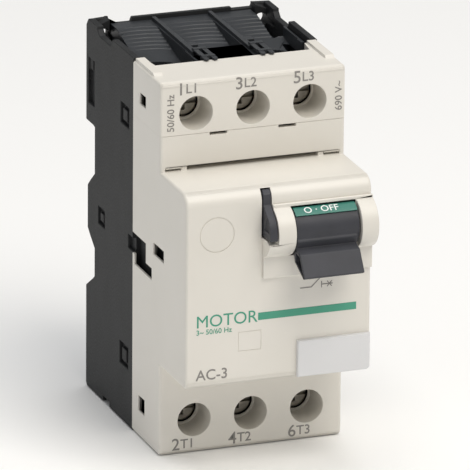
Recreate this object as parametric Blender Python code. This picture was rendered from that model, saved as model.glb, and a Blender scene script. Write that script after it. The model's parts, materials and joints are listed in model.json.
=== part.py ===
"""Three-pole motor protection breaker for a 35 mm rail, as separate solids with their joints at rest.

Frame: X to the right, the front faces -Y, +Z up, z = 0 at the bottom. Every piece is worked in
millimetres and scaled to metres when it is finished.
"""

import math

import bmesh
import bpy
from mathutils import Matrix, Vector

# Driving dimensions, in millimetres.
WIDTH = 44.5
HALF = WIDTH / 2
FRONT_TOP = 89.2
SIDE_TOP = 89.9
REAR_Y = 38.9
SPLIT_Y = REAR_Y - 32.5
FACE_Y = REAR_Y - 50.9
MAIN_Y = FACE_Y - 17.6
WALL = 1.6
GAP = 0.3

SEAM_Z = 76.6
SEAM_GAP = 0.02
BLOCK_TOP = 68.2
BLOCK_BOTTOM = 21.9
BLOCK_EDGE_RADIUS = 3.4
FOOT_EDGE_RADIUS = 1.6
BAND_BOTTOM = 69.2

POLE_PITCH = 13.7
POLES = (-POLE_PITCH, 0.0, POLE_PITCH)
LINE_Z = 81.5
LOAD_Z = 7.9
MIRROR_Z = LINE_Z + LOAD_Z
WELL_RADIUS = 4.0
WELL_WALL = 0.6
WELL_END_Y = FACE_Y + 8.6

SCREW_HEAD_Y = FACE_Y + 9.0
SCREW_HEAD_RADIUS = 3.5
SCREW_HEAD_DEPTH = 2.2
SCREW_RADIUS = 1.9
PLATE_Y = 6.9
PLATE_THICK = 1.2
CLAMP_FRONT_Y = 2.7
CLAMP_BACK_Y = 14.4
CLAMP_WALL = 1.6
CLAMP_HALF = 4.9
CLAMP_HEIGHT = 3.2

LEVER_Y = MAIN_Y + 0.9
LEVER_Z = 57.7
DRUM_RADIUS = 5.1
HUB_RADIUS = 3.3
SHAFT_RADIUS = 1.5
SHAFT_PLAY = 0.1
CHEEK_RADIUS = 5.9
DRUM_LEFT = 2.7
DRUM_RIGHT = 17.9
HANDLE_RIGHT = 17.2
LEVER_SWING = math.radians(80)
CARRIER_TRAVEL = 2.4
CAM_START = 3.45

SLIDE_LEFT = -3.95
SLIDE_RIGHT = -2.1
CELL_HALF = 6.25
BRIDGE_Y = 14.8
CONTACT_Y = BRIDGE_Y + PLATE_THICK + CARRIER_TRAVEL + GAP
COIL_Z = 29.0

RAIL_TOP = 65.2
RAIL_BOTTOM = 28.8
RAIL_FLOOR_Y = REAR_Y - 6.0
TOP_SEGMENTS = 6
MERGE = 0.002
GRID = 1024

COLOURS = {
    "cream": (0.74, 0.71, 0.64, 0.45, 0.0),
    "black": (0.04, 0.04, 0.042, 0.5, 0.0),
    "lever_grey": (0.09, 0.09, 0.1, 0.4, 0.0),
    "green": (0.09, 0.3, 0.2, 0.45, 0.0),
    "white": (0.72, 0.72, 0.74, 0.35, 0.0),
    "brown": (0.13, 0.075, 0.05, 0.55, 0.0),
    "steel": (0.56, 0.55, 0.52, 0.3, 1.0),
    "copper": (0.72, 0.42, 0.27, 0.3, 1.0),
    "enamelled_copper": (0.5, 0.16, 0.07, 0.35, 0.6),
    "fibre_steel": (0.33, 0.31, 0.29, 0.5, 0.8),
}


def clear_scene():
    """Empties the scene, so that only this model is in it."""
    for thing in list(bpy.data.objects):
        bpy.data.objects.remove(thing, do_unlink=True)


def finish_material(name):
    """The named finish as a Principled material, made once."""
    found = bpy.data.materials.get(name)
    if found:
        return found
    red, green, blue, roughness, metallic = COLOURS[name]
    made = bpy.data.materials.new(name)
    made.use_nodes = True
    shader = made.node_tree.nodes["Principled BSDF"]
    shader.inputs["Base Color"].default_value = (red, green, blue, 1.0)
    shader.inputs["Roughness"].default_value = roughness
    shader.inputs["Metallic"].default_value = metallic
    return made


def mesh_object(name, bm):
    """Puts a closed bmesh into the scene, on a fine grid so that faces meant to be flush are exactly so."""
    for vertex in bm.verts:
        vertex.co = [round(value * GRID) / GRID for value in vertex.co]
    bmesh.ops.recalc_face_normals(bm, faces=bm.faces[:])
    mesh = bpy.data.meshes.new(name)
    bm.to_mesh(mesh)
    bm.free()
    made = bpy.data.objects.new(name, mesh)
    bpy.context.scene.collection.objects.link(made)
    return made


def box(low, high, name="block"):
    """A block from its lowest to its highest corner."""
    bm = bmesh.new()
    bmesh.ops.create_cube(bm, size=1.0)
    size = [b - a for a, b in zip(low, high)]
    middle = [(a + b) / 2 for a, b in zip(low, high)]
    bmesh.ops.scale(bm, vec=size, verts=bm.verts[:])
    bmesh.ops.translate(bm, vec=middle, verts=bm.verts[:])
    return mesh_object(name, bm)


def prism(outline, axis, low, high, name="prism"):
    """An outline of (a, b) points pushed along x, y or z from low to high.

    Along x the points are (y, z), along y they are (x, z), and along z they are (x, y).
    """
    place = {
        "x": lambda a, b, c: (c, a, b),
        "y": lambda a, b, c: (a, c, b),
        "z": lambda a, b, c: (a, b, c),
    }[axis]
    bm = bmesh.new()
    face = bm.faces.new([bm.verts.new(place(a, b, low)) for a, b in outline])
    pushed = bmesh.ops.extrude_face_region(bm, geom=[face])["geom"]
    moved = [v for v in pushed if isinstance(v, bmesh.types.BMVert)]
    bmesh.ops.translate(bm, vec=place(0.0, 0.0, high - low), verts=moved)
    return mesh_object(name, bm)


def turned(profile, axis, centre, segments=20, name="turned"):
    """A profile of (distance along the axis, radius) points spun round an axis along x, y or z."""
    place = {
        "x": lambda along, u, v: (along, u, v),
        "y": lambda along, u, v: (u, along, v),
        "z": lambda along, u, v: (u, v, along),
    }[axis]
    bm = bmesh.new()
    rings = []
    for along, radius in profile:
        if radius == 0:
            rings.append([bm.verts.new(Vector(place(along, 0.0, 0.0)))])
            continue
        steps = [2 * math.pi * (i + 0.5) / segments for i in range(segments)]
        rings.append([
            bm.verts.new(Vector(place(along, radius * math.cos(t), radius * math.sin(t)))) for t in steps
        ])
    closed = profile[0][1] > 0
    pairs = list(zip(rings, rings[1:] + ([rings[0]] if closed else [])))
    for first, second in pairs:
        for i in range(segments):
            j = (i + 1) % segments
            corners = [first[i % len(first)], first[j % len(first)]]
            corners += [second[j % len(second)], second[i % len(second)]]
            bm.faces.new(list(dict.fromkeys(corners)))
    bmesh.ops.translate(bm, vec=centre, verts=bm.verts[:])
    return mesh_object(name, bm)


def rod(axis, centre, low, high, radius, segments=20, name="rod"):
    """A plain round bar between two distances along its axis."""
    profile = [(low, 0), (low, radius), (high, radius), (high, 0)]
    return turned(profile, axis, centre, segments, name)


def arc(cx, cy, radius, start, end, steps):
    """Points on an arc, with its angles in degrees."""
    points = []
    for i in range(steps + 1):
        t = math.radians(start + (end - start) * i / steps)
        points.append((cx + radius * math.cos(t), cy + radius * math.sin(t)))
    return points


def combine(target, others, operation):
    """Joins, cuts or keeps the overlap of a body with others, and leaves one clean mesh."""
    for other in others:
        change = target.modifiers.new(operation.lower(), "BOOLEAN")
        change.operation = operation
        change.solver = "EXACT"
        change.object = other
        bpy.context.view_layer.update()
        graph = bpy.context.evaluated_depsgraph_get()
        shaped = bpy.data.meshes.new_from_object(target.evaluated_get(graph))
        target.modifiers.clear()
        worn_out = target.data
        target.data = shaped
        bpy.data.meshes.remove(worn_out)
        bpy.data.objects.remove(other, do_unlink=True)
    return target


def join(target, *others):
    return combine(target, others, "UNION")


def cut(target, *others):
    return combine(target, others, "DIFFERENCE")


def keep(target, *others):
    return combine(target, others, "INTERSECT")


def tidy_mesh(made):
    """Merges points that a cut left on top of each other and joins faces that lie flat together."""
    bm = bmesh.new()
    bm.from_mesh(made.data)
    bmesh.ops.remove_doubles(bm, verts=bm.verts[:], dist=MERGE)
    bmesh.ops.dissolve_limit(
        bm, angle_limit=math.radians(0.2), verts=bm.verts[:], edges=bm.edges[:], delimit={"NORMAL"}
    )
    bm.to_mesh(made.data)
    bm.free()


def finish(made, name, colour, pivot=(0.0, 0.0, 0.0), smooth=35):
    """Names a piece, turns it into metres, and puts its origin on its joint without moving the piece."""
    made.name = name
    made.data.name = name
    made.data.materials.clear()
    made.data.materials.append(finish_material(colour))
    tidy_mesh(made)
    made.data.transform(Matrix.Scale(0.001, 4) @ Matrix.Translation(-Vector(pivot)))
    made.location = Vector(pivot) * 0.001
    made.data.shade_smooth()
    made.data.set_sharp_from_angle(angle=math.radians(smooth))
    return made


def spring(axis, centre, low, high, radius, wire, turns, name):
    """An open coil spring of round wire, with its wire's ends closed."""
    per_turn = 9
    sides = 5
    count = int(turns * per_turn)
    place = {"y": lambda a, u, v: (u, a, v), "z": lambda a, u, v: (u, v, a)}[axis]
    bm = bmesh.new()
    rings = []
    for i in range(count + 1):
        turn = 2 * math.pi * i / per_turn
        along = low + wire + (high - low - 2 * wire) * i / count
        ring = []
        for k in range(sides):
            t = 2 * math.pi * k / sides
            out = radius + wire * math.cos(t)
            point = place(along + wire * math.sin(t), out * math.cos(turn), out * math.sin(turn))
            ring.append(bm.verts.new(Vector(point) + Vector(centre)))
        rings.append(ring)
    for first, second in zip(rings, rings[1:]):
        for k in range(sides):
            bm.faces.new((first[k], first[(k + 1) % sides], second[(k + 1) % sides], second[k]))
    bm.faces.new(rings[0])
    bm.faces.new(list(reversed(rings[-1])))
    return mesh_object(name, bm)


# Casing


def housing_outline():
    """The side view of the rear housing, as (y, z): the rail recess is in its back."""
    back = REAR_Y
    return [
        (SPLIT_Y, 0.0),
        (22.4, 0.0), (22.4, 1.3), (26.6, 1.3), (27.2, 0.0),
        (back - 0.7, 0.0), (back, 0.7), (back, 24.8),
        (back - 4.7, 27.8), (back - 6.0, RAIL_BOTTOM), (back - 6.0, 35.4),
        (back - 2.9, 37.6), (back - 1.0, 39.2), (back - 1.0, 49.7),
        (back - 2.8, 51.3), (back - 6.0, 53.9), (back - 6.0, 64.9),
        (back - 5.0, RAIL_TOP), (back, RAIL_TOP),
        (back, 88.4), (back - 1.2, SIDE_TOP), (SPLIT_Y, SIDE_TOP),
    ]


def housing_hollow():
    """The side view of the space in the rear housing, open at the front, the top and the bottom."""
    return [
        (SPLIT_Y - 1.0, -1.0), (32.4, -1.0), (32.4, 22.5), (31.0, 26.5), (31.0, 66.4),
        (37.0, 68.4), (37.0, 95.0), (SPLIT_Y - 1.0, 95.0),
    ]


def make_rear_housing():
    body = prism(housing_outline(), "x", -HALF, HALF)
    inner = HALF - WALL
    cut(body, prism(housing_hollow(), "x", -inner, inner))
    for side in (-1, 1):
        # A tongue that slides in behind the cover's side wall.
        outer_x = side * (inner - GAP)
        inner_x = side * (inner - GAP - 1.0)
        low_x, high_x = sorted((outer_x, inner_x))
        join(body, box((low_x, -10.1, 3.0), (high_x, 8.9, 86.0)))
        cut(body, box((low_x - 0.2, -12.0, 66.2), (high_x + 0.2, FACE_Y + 7.0, 71.2)))
        low_x, high_x = sorted((side * (inner + 0.5), inner_x))
        join(body, box((low_x, SPLIT_Y, 3.0), (high_x, 8.9, 86.0)))
        join(body, box((side * 6.85 - 0.6, 10.0, 15.5), (side * 6.85 + 0.6, 31.6, 75.0)))
    cut(body, *housing_recesses())
    join(body, *housing_ears())
    cut(body, *ear_holes())
    cut(body, *rail_latch_channel())
    join(body, box((-2.0, 33.0, 11.2), (2.0, 36.8, 12.0)))
    return finish(body, "rear_housing", "black")


def housing_recesses():
    """Side pockets, the rail hook's groove, the steps in the rear strip and the notches in the side walls."""
    pockets = ((6.4, 9.6, 43.4, 46.7), (9.1, 15.0, 72.0, 77.0), (25.9, 30.4, 42.6, 46.8),
               (9.2, 15.2, 13.7, 19.0), (33.2, 37.4, 69.8, 80.8))
    cutters = []
    for near_y, far_y, low_z, high_z in pockets:
        for side in (-1, 1):
            low_x, high_x = sorted((side * (HALF - 0.9), side * (HALF + 1.0)))
            cutters.append(box((low_x, near_y, low_z), (high_x, far_y, high_z)))
    cutters.append(box((-15.0, REAR_Y - 6.4, RAIL_TOP - 1.0), (15.0, REAR_Y - 4.9, RAIL_TOP + 1.5)))
    for low_x, high_x, low_z in ((-17.6, -11.8, 88.1), (-11.8, 12.6, 89.4), (12.6, 17.8, 88.8)):
        cutters.append(box((low_x, 36.0, low_z), (high_x, 40.0, 92.0)))
    for side in (-1, 1):
        low_x, high_x = sorted((side * (HALF - WALL - 0.5), side * (HALF + 1.0)))
        notch = [(21.0, 92.0), (21.0, 89.0), (22.2, 88.0), (29.8, 88.0), (31.2, 89.2), (31.2, 92.0)]
        cutters.append(prism(notch, "x", low_x, high_x))
    return cutters


def housing_ears():
    """A lug in each rear top corner, with its screw hole, for fastening to a panel."""
    ears = []
    for side in (-1, 1):
        outline = [(side * (HALF - 0.4), 78.0), (side * (HALF - 0.4), 88.3), (side * 17.8, 90.0), (side * 17.8, 78.0)]
        ears.append(prism(outline, "y", 35.2, REAR_Y - 0.3))
    return ears


def ear_holes():
    return [rod("y", (side * 19.3, 0.0, 86.2), 30.0, 45.0, 1.6, 16) for side in (-1, 1)]


def rail_latch_channel():
    """The slot that the rail latch slides in: wide inside, and narrower where it opens at the back."""
    return [
        box((-6.5, 34.0, -1.0), (6.5, 37.2, 34.0)),
        box((-4.5, 37.0, -1.0), (4.5, 40.0, 34.0)),
    ]


def cover_outline():
    """The side view of the front cover, as (y, z), up to the seam under the line terminals."""
    edge = BLOCK_EDGE_RADIUS
    foot = FOOT_EDGE_RADIUS
    top_round = arc(MAIN_Y + edge, BLOCK_TOP - edge, edge, 180, 90, TOP_SEGMENTS)
    foot_round = arc(MAIN_Y + foot, BLOCK_BOTTOM + foot, foot, 270, 180, 3)
    return (
        [(SPLIT_Y, 0.0), (FACE_Y + 0.5, 0.0), (FACE_Y, 0.5), (FACE_Y, BLOCK_BOTTOM)]
        + foot_round
        + top_round
        + [(FACE_Y + 5.0, BLOCK_TOP), (FACE_Y + 5.0, BAND_BOTTOM), (FACE_Y, BAND_BOTTOM)]
        + [(FACE_Y, SEAM_Z - SEAM_GAP), (SPLIT_Y, SEAM_Z - SEAM_GAP)]
    )


def cover_hollow():
    """The side view of the space in the front cover, open at the back and at the seam."""
    inside = WALL
    return [
        (SPLIT_Y + 1.0, inside), (FACE_Y + inside, inside), (FACE_Y + inside, BLOCK_BOTTOM + inside),
        (MAIN_Y + inside, BLOCK_BOTTOM + inside + 0.4), (MAIN_Y + inside, BLOCK_TOP - 3.6),
        (MAIN_Y + 3.6, BLOCK_TOP - inside), (FACE_Y + 6.6, BLOCK_TOP - inside),
        (FACE_Y + 6.6, BAND_BOTTOM + inside), (FACE_Y + inside, BAND_BOTTOM + inside),
        (FACE_Y + inside, SEAM_Z + 1.0), (SPLIT_Y + 1.0, SEAM_Z + 1.0),
    ]


def well_tube(x, z):
    return rod("y", (x, 0.0, z), FACE_Y + 0.4, WELL_END_Y, WELL_RADIUS + WELL_WALL, 24)


def well_bore(x, z):
    return rod("y", (x, 0.0, z), FACE_Y - 1.0, WELL_END_Y + 1.0, WELL_RADIUS, 24)


def side_window(low_y, high_y, low_z, high_z):
    """A cutter through each side wall of the cover."""
    pair = []
    for side in (-1, 1):
        low_x, high_x = sorted((side * (HALF - WALL - 0.2), side * (HALF + 1.0)))
        pair.append(box((low_x, low_y, low_z), (high_x, high_y, high_z)))
    return pair


def make_front_cover():
    inner = HALF - WALL
    body = prism(cover_outline(), "x", -HALF, HALF)
    cut(body, prism(cover_hollow(), "x", -inner, inner))
    join(body, *[well_tube(x, LOAD_Z) for x in POLES])
    cut(body, *[well_bore(x, LOAD_Z) for x in POLES])
    # The floor stops short at the wire entries and the corners stay on as ears.
    cut(body, box((-19.3, 1.7, -1.0), (19.3, SPLIT_Y + 1.0, 2.5)))
    # The dark gap over the block is closed off by two nubs.
    for side in (-1, 1):
        for near_x, far_x in ((16.0, 17.2), (21.0, HALF - 0.1)):
            low_x, high_x = sorted((side * near_x, side * far_x))
            join(body, box((low_x, FACE_Y + 0.1, BLOCK_TOP - 0.2), (high_x, FACE_Y + 5.2, BAND_BOTTOM + 0.2)))
    cut(body, *side_window(-2.4, SPLIT_Y + 1.0, 43.3, 48.2))
    cut(body, *side_window(-6.5, SPLIT_Y - 1.1, 40.8, 43.5))
    cut(body, *side_window(-14.5, -7.5, 47.4, 50.2))
    cut(body, *side_window(-1.9, 2.3, 6.2, 10.0))
    # The opening for the lever and its bezel, and the slot for the padlock slide.
    cut(body, box((-1.6, MAIN_Y - 1.0, 51.4), (20.35, MAIN_Y + 3.0, 64.0)))
    cut(body, box((SLIDE_LEFT - 0.25, MAIN_Y - 1.0, 56.4), (SLIDE_RIGHT + 0.25, MAIN_Y + 5.0, 67.9)))
    return finish(body, "front_cover", "cream")


def make_upper_terminal_cover():
    inner = HALF - WALL
    outline = [
        (SPLIT_Y, SEAM_Z + SEAM_GAP), (FACE_Y, SEAM_Z + SEAM_GAP), (FACE_Y, FRONT_TOP - 0.8),
        (FACE_Y + 0.25, FRONT_TOP - 0.25), (FACE_Y + 0.8, FRONT_TOP), (SPLIT_Y, FRONT_TOP),
    ]
    body = prism(outline, "x", -HALF, HALF)
    hollow = [
        (SPLIT_Y + 1.0, SEAM_Z - 1.0), (FACE_Y + WALL, SEAM_Z - 1.0),
        (FACE_Y + WALL, FRONT_TOP - WALL), (SPLIT_Y + 1.0, FRONT_TOP - WALL),
    ]
    cut(body, prism(hollow, "x", -inner, inner))
    join(body, *[well_tube(x, LINE_Z) for x in POLES])
    cut(body, *[well_bore(x, LINE_Z) for x in POLES])
    cut(body, box((-19.3, 1.7, FRONT_TOP - 3.0), (19.3, SPLIT_Y + 1.0, FRONT_TOP + 2.0)))
    for side in (-1, 1):
        low_x, high_x = sorted((side * (HALF - 0.5), side * 19.6))
        rail_end = SPLIT_Y - 0.2
        rail = [(FACE_Y + 5.0, FRONT_TOP - 0.5), (FACE_Y + 6.5, SIDE_TOP), (rail_end, SIDE_TOP),
                (rail_end, FRONT_TOP - 0.5)]
        join(body, prism(rail, "x", low_x, high_x))
        low_x, high_x = sorted((side * 6.2, side * 10.4))
        cut(body, box((low_x, FACE_Y - 1.0, SEAM_Z - 1.0), (high_x, FACE_Y + 3.0, SEAM_Z + 0.65)))
    cut(body, *side_window(-2.0, 2.1, 80.3, 83.0))
    return finish(body, "upper_terminal_cover", "cream")


def scoop(x):
    """The flared wire entry of one pole: a shaft, with a shallow cone round its back half."""
    centre_y = 12.0
    radius = 5.75
    shaft_plan = [(x - radius, 2.9), (x + radius, 2.9)] + arc(x, centre_y, radius, 0, 180, 8)
    shaft = prism(shaft_plan, "z", 70.0, 95.0)
    cone = turned([(84.6, 0), (84.6, radius), (89.8, 25.5), (89.8, 0)], "z", (x, centre_y, 0.0), 32)
    keep(cone, box((x - 6.05, centre_y, 80.0), (x + 6.05, 35.8, 95.0)))
    return shaft, cone


def make_upper_wire_guide():
    front, back = 2.1, 36.7
    plan = [(-19.0, front), (19.0, front), (19.0, 9.3), (20.3, 9.3), (20.3, 34.7), (17.5, 34.7), (17.5, back),
            (-17.5, back), (-17.5, 34.7), (-20.3, 34.7), (-20.3, 9.3), (-19.0, 9.3)]
    body = prism(plan, "z", 79.0, 88.5)
    for x in POLES:
        cut(body, *scoop(x))
    # The rear corners are left open for the lugs' screws.
    cut(body, box((-25.0, 22.0, 83.5), (-17.2, 40.0, 92.0)), box((17.2, 22.0, 83.5), (25.0, 40.0, 92.0)))
    # Room under the front rim and the back for the clamps and the plates.
    cut(body, box((-25.0, 0.0, 70.0), (-19.0 + 0.6, 19.0, 85.3)), box((18.4, 0.0, 70.0), (25.0, 19.0, 85.3)))
    for x in POLES:
        cut(body, box((x - 5.75, 0.0, 70.0), (x + 5.75, 12.0, 85.3)))
        cut(body, box((x - 5.4, 19.6, 70.0), (x + 5.4, 35.4, 82.6)))
    for side in (-1, 1):
        join(body, box((side * 6.85 - 0.7, 8.0, 86.0), (side * 6.85 + 0.7, 36.0, 89.4)))
        join(body, box((side * 6.85 - 0.7, 13.0, 87.6), (side * 6.85 + 2.6, 15.4, 89.4)))
    for x in (-5.55, 8.15):
        for prong in (-1.05, 1.05):
            centre_x = x + prong
            join(body, box((centre_x - 0.6, 0.3, FRONT_TOP + 0.3), (centre_x + 0.6, 8.4, FRONT_TOP + 0.8)))
        join(body, box((x - 1.65, 2.4, 87.8), (x + 1.65, 3.4, FRONT_TOP + 0.8)))
        join(body, box((x - 1.65, 8.0, 86.5), (x + 1.65, 9.2, FRONT_TOP + 0.8)))
    return finish(body, "upper_wire_guide", "black")


def make_lower_wire_guide():
    front, back = 2.1, 32.0
    plan = [(-19.0, front), (19.0, front), (19.0, 9.3), (20.3, 9.3), (20.3, back), (-20.3, back), (-20.3, 9.3),
            (-19.0, 9.3)]
    body = prism(plan, "z", 0.4, 9.8)
    flip = Matrix.Translation((0.0, 0.0, MIRROR_Z)) @ Matrix.Diagonal((1.0, 1.0, -1.0, 1.0))
    for x in POLES:
        for cutter in scoop(x):
            cutter.data.transform(flip)
            cutter.data.flip_normals()
            cut(body, cutter)
    rim = MIRROR_Z - 85.3
    cut(body, box((-25.0, 0.0, rim), (-18.4, 19.0, 20.0)), box((18.4, 0.0, rim), (25.0, 19.0, 20.0)))
    for x in POLES:
        cut(body, box((x - 5.75, 0.0, rim), (x + 5.75, 12.0, 20.0)))
        cut(body, box((x - 5.4, 19.6, MIRROR_Z - 82.6), (x + 5.4, 30.6, 20.0)))
    return finish(body, "lower_wire_guide", "black")


def make_lever_bezel():
    """The raised plate round the lever, with a round cheek on each side that holds the shaft's end."""
    front = MAIN_Y - 0.75
    back = MAIN_Y - 0.1
    body = box((-4.0, front, 46.8), (HALF, back, 64.2))
    cut(body, box((2.4, front - 1.0, 51.9), (18.15, back + 1.0, 63.4)))
    rear = MAIN_Y + 4.2
    for low_x, high_x, deep_x in ((-4.0, 2.4, -1.3), (18.2, HALF, 20.1)):
        cheek = rod("x", (0.0, LEVER_Y, LEVER_Z), low_x, high_x, CHEEK_RADIUS, 32)
        keep(cheek, box((-30, -60, 0), (30, back, 99)))
        join(body, cheek)
        low_x, high_x = (deep_x, high_x) if low_x < 0 else (low_x, deep_x)
        join(body, box((low_x, back - 0.2, 52.0), (high_x, rear, 63.4)))
    cut(body, box((-5.0, -50.0, 56.4), (SLIDE_RIGHT + 0.25, back + 2.0, 70.0)))
    for low_x, high_x in ((0.2, 3.0), (17.5, 19.4)):
        cut(body, rod("x", (0.0, LEVER_Y, LEVER_Z), low_x, high_x, SHAFT_RADIUS + SHAFT_PLAY, 20))
    return finish(body, "lever_bezel", "cream")


def make_marker_plate():
    low_x, high_x, low_z, high_z = 4.4, 21.9, 22.4, 31.1
    front, back = MAIN_Y - 1.1, MAIN_Y - 0.1
    corner = arc(high_x - 1.0, low_z + 1.0, 1.0, 270, 360, 4)
    outline = [(low_x, low_z)] + corner + [(high_x, high_z), (low_x, high_z)]
    body = prism(outline, "y", front, back)
    bm = bmesh.new()
    bm.from_mesh(body.data)
    rim = [e for e in bm.edges if all(abs(v.co.y - front) < 0.001 for v in e.verts)]
    bmesh.ops.bevel(bm, geom=rim, offset=0.4, segments=1, affect="EDGES")
    bm.to_mesh(body.data)
    bm.free()
    return finish(body, "marker_plate", "white")


# Lever


def drum_outline():
    """The drum's section about the shaft, as (y, z): full where it shows, and down to the hub behind."""
    shell = arc(LEVER_Y, LEVER_Z, DRUM_RADIUS, 105, 320, 18)
    hub = arc(LEVER_Y, LEVER_Z, HUB_RADIUS, 320, 465, 8)
    return shell + hub


def handle_outline():
    """The grip's section, from the drum down and forward to its tip."""
    return [
        (LEVER_Y - 1.0, LEVER_Z - 1.0), (MAIN_Y - 3.0, LEVER_Z + 0.4), (MAIN_Y - 4.5, LEVER_Z - 1.6),
        (MAIN_Y - 3.7, LEVER_Z - 3.4), (MAIN_Y - 6.1, LEVER_Z - 4.2), (MAIN_Y - 9.2, LEVER_Z - 8.8),
        (MAIN_Y - 8.4, LEVER_Z - 9.3), (MAIN_Y - 2.7, LEVER_Z - 6.9), (MAIN_Y - 1.7, LEVER_Z - 4.4),
    ]


def cam_outline():
    """A cam whose flat follower moves in step with the turn, as the involute of a circle does."""
    lift = CARRIER_TRAVEL / LEVER_SWING
    points = []
    for i in range(13):
        turn = LEVER_SWING * i / 12
        reach = CAM_START + lift * turn
        y = reach * math.cos(turn) - lift * math.sin(turn)
        z = reach * math.sin(turn) + lift * math.cos(turn)
        points.append((LEVER_Y + y, LEVER_Z + z))
    return points + [(LEVER_Y - 1.5, LEVER_Z + 1.0), (LEVER_Y + 1.0, LEVER_Z - 2.5)]


def make_lever():
    pivot = (DRUM_LEFT, LEVER_Y, LEVER_Z)
    body = prism(drum_outline(), "x", DRUM_LEFT, DRUM_RIGHT)
    join(body, prism(handle_outline(), "x", DRUM_LEFT, HANDLE_RIGHT))
    join(body, prism(cam_outline(), "x", 9.0, 12.0))
    cut(body, rod("x", (0.0, LEVER_Y, LEVER_Z), 0.0, 20.0, SHAFT_RADIUS + SHAFT_PLAY, 20))
    lever = finish(body, "toggle_lever", "lever_grey", pivot)
    inner = DRUM_RADIUS + 0.1
    outline = arc(LEVER_Y, LEVER_Z, inner + 0.3, 105, 133, 5) + arc(LEVER_Y, LEVER_Z, inner, 133, 105, 5)
    label = finish(prism(outline, "x", DRUM_LEFT + 0.2, DRUM_RIGHT - 0.2), "position_label", "green", pivot)
    shaft = rod("x", (0.0, LEVER_Y, LEVER_Z), 0.5, 19.1, SHAFT_RADIUS, 20)
    finish(shaft, "lever_shaft", "steel")
    return lever, label


def make_padlock_slide():
    """A flat bar behind the front, with a nose that follows the cheek and a hole that a padlock takes."""
    nose = CHEEK_RADIUS - 0.1
    front = MAIN_Y - 0.1
    outline = (
        [(MAIN_Y + 14.0, 56.9), (MAIN_Y + 14.0, 66.2), (MAIN_Y + 1.4, 66.2), (MAIN_Y + 1.4, 67.5)]
        + [(MAIN_Y + 0.6, 67.3), (front, 66.6), (front, 64.2)]
        + arc(LEVER_Y, LEVER_Z, nose, 117, 188, 8)
    )
    body = prism(outline, "x", SLIDE_LEFT, SLIDE_RIGHT)
    cut(body, rod("x", (0.0, MAIN_Y + 4.6, 62.2), -8.0, 2.0, 2.2, 16))
    return finish(body, "padlock_slide", "lever_grey", (SLIDE_LEFT, MAIN_Y, 62.0))


# Terminals


def make_terminal_screw(name, x, z):
    """An M4 screw with a round head, a slot and a cross in it."""
    head = SCREW_HEAD_Y
    back = head + SCREW_HEAD_DEPTH
    profile = [
        (head, 0), (head, SCREW_HEAD_RADIUS - 0.5), (head + 0.5, SCREW_HEAD_RADIUS), (back, SCREW_HEAD_RADIUS),
        (back, SCREW_RADIUS), (PLATE_Y - 0.9, SCREW_RADIUS), (PLATE_Y - GAP, SCREW_RADIUS - 0.5), (PLATE_Y - GAP, 0),
    ]
    body = turned(profile, "y", (x, 0.0, z), 16)
    cut(body, box((x - 5.0, head - 1.0, z - 0.5), (x + 5.0, head + 1.0, z + 0.5)))
    cut(body, box((x - 0.5, head - 1.0, z - 2.0), (x + 0.5, head + 1.3, z + 2.0)))
    return finish(body, name, "steel", (x, head, z))


def make_clamp(name, x, z):
    """The cage that a terminal screw draws forward, with the wire in it behind the plate."""
    body = box((x - CLAMP_HALF, CLAMP_FRONT_Y, z - CLAMP_HEIGHT), (x + CLAMP_HALF, CLAMP_BACK_Y, z + CLAMP_HEIGHT))
    inner = CLAMP_HALF - 1.2
    window = box(
        (x - inner, CLAMP_FRONT_Y + CLAMP_WALL, z - 9.0), (x + inner, CLAMP_BACK_Y - CLAMP_WALL, z + 9.0)
    )
    cut(body, window, rod("y", (x, 0.0, z), 0.0, 5.0, SCREW_RADIUS + GAP, 16))
    return finish(body, name, "steel", (x, CLAMP_FRONT_Y, z))


def strip(points, x, half_width, thickness, name="strip"):
    """Flat bar bent square at each (y, z) point, joined from straight runs."""
    runs = []
    half = thickness / 2
    for (y0, z0), (y1, z1) in zip(points, points[1:]):
        low = (x - half_width, min(y0, y1) - half, min(z0, z1) - half)
        high = (x + half_width, max(y0, y1) + half, max(z0, z1) + half)
        runs.append(box(low, high))
    return join(runs[0], *runs[1:])


def make_line_plate(name, x):
    """The line terminal's copper, from the clamp to the upper fixed contact."""
    middle = PLATE_Y + PLATE_THICK / 2
    contact = CONTACT_Y + 1.2 + PLATE_THICK / 2
    body = strip([(middle, 85.2), (middle, 74.4), (contact, 74.4), (contact, 57.0)], x, 3.2, PLATE_THICK)
    join(body, rod("y", (x, 0.0, 58.6), CONTACT_Y, contact, 1.9, 12))
    return finish(body, name, "copper")


def make_load_plate(name, x):
    """The load terminal's copper, from the clamp to the trip coil."""
    middle = PLATE_Y + PLATE_THICK / 2
    body = strip([(middle, 4.2), (middle, 15.0), (17.0, 15.0), (17.0, 22.6)], x, 3.2, PLATE_THICK)
    return finish(body, name, "copper")


def make_coil_strip(name, x):
    """The lower fixed contact, on a strip that comes up from the trip coil."""
    middle = CONTACT_Y + 1.2 + PLATE_THICK / 2
    body = strip([(middle, 35.6), (middle, 49.6)], x, 3.2, PLATE_THICK)
    join(body, rod("y", (x, 0.0, 47.4), CONTACT_Y, middle, 1.9, 12))
    return finish(body, name, "copper")


# Switching and tripping


def make_trip_coil(name, x):
    """A few turns of heavy wire round the plunger's bore."""
    turns = 5
    start = 12.2
    pitch = 2.5
    bore = 2.3
    profile = [(start, bore)]
    for i in range(turns):
        near = start + i * pitch
        profile += [(near + 0.2, 4.1), (near + 0.8, 4.8), (near + pitch - 0.8, 4.8), (near + pitch - 0.2, 4.1)]
    profile.append((start + turns * pitch, bore))
    return finish(turned(profile, "y", (x, 0.0, COIL_Z), 14), name, "enamelled_copper")


def make_yoke(name, x):
    """A steel yoke bent round the coil, open at the front and closed behind it."""
    body = box((x - 5.95, 11.0, COIL_Z - 4.4), (x + 5.95, 26.4, COIL_Z + 4.4))
    cut(body, box((x - 5.05, 10.0, COIL_Z - 9.0), (x + 5.05, 25.2, COIL_Z + 9.0)))
    return finish(body, name, "steel")


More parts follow.
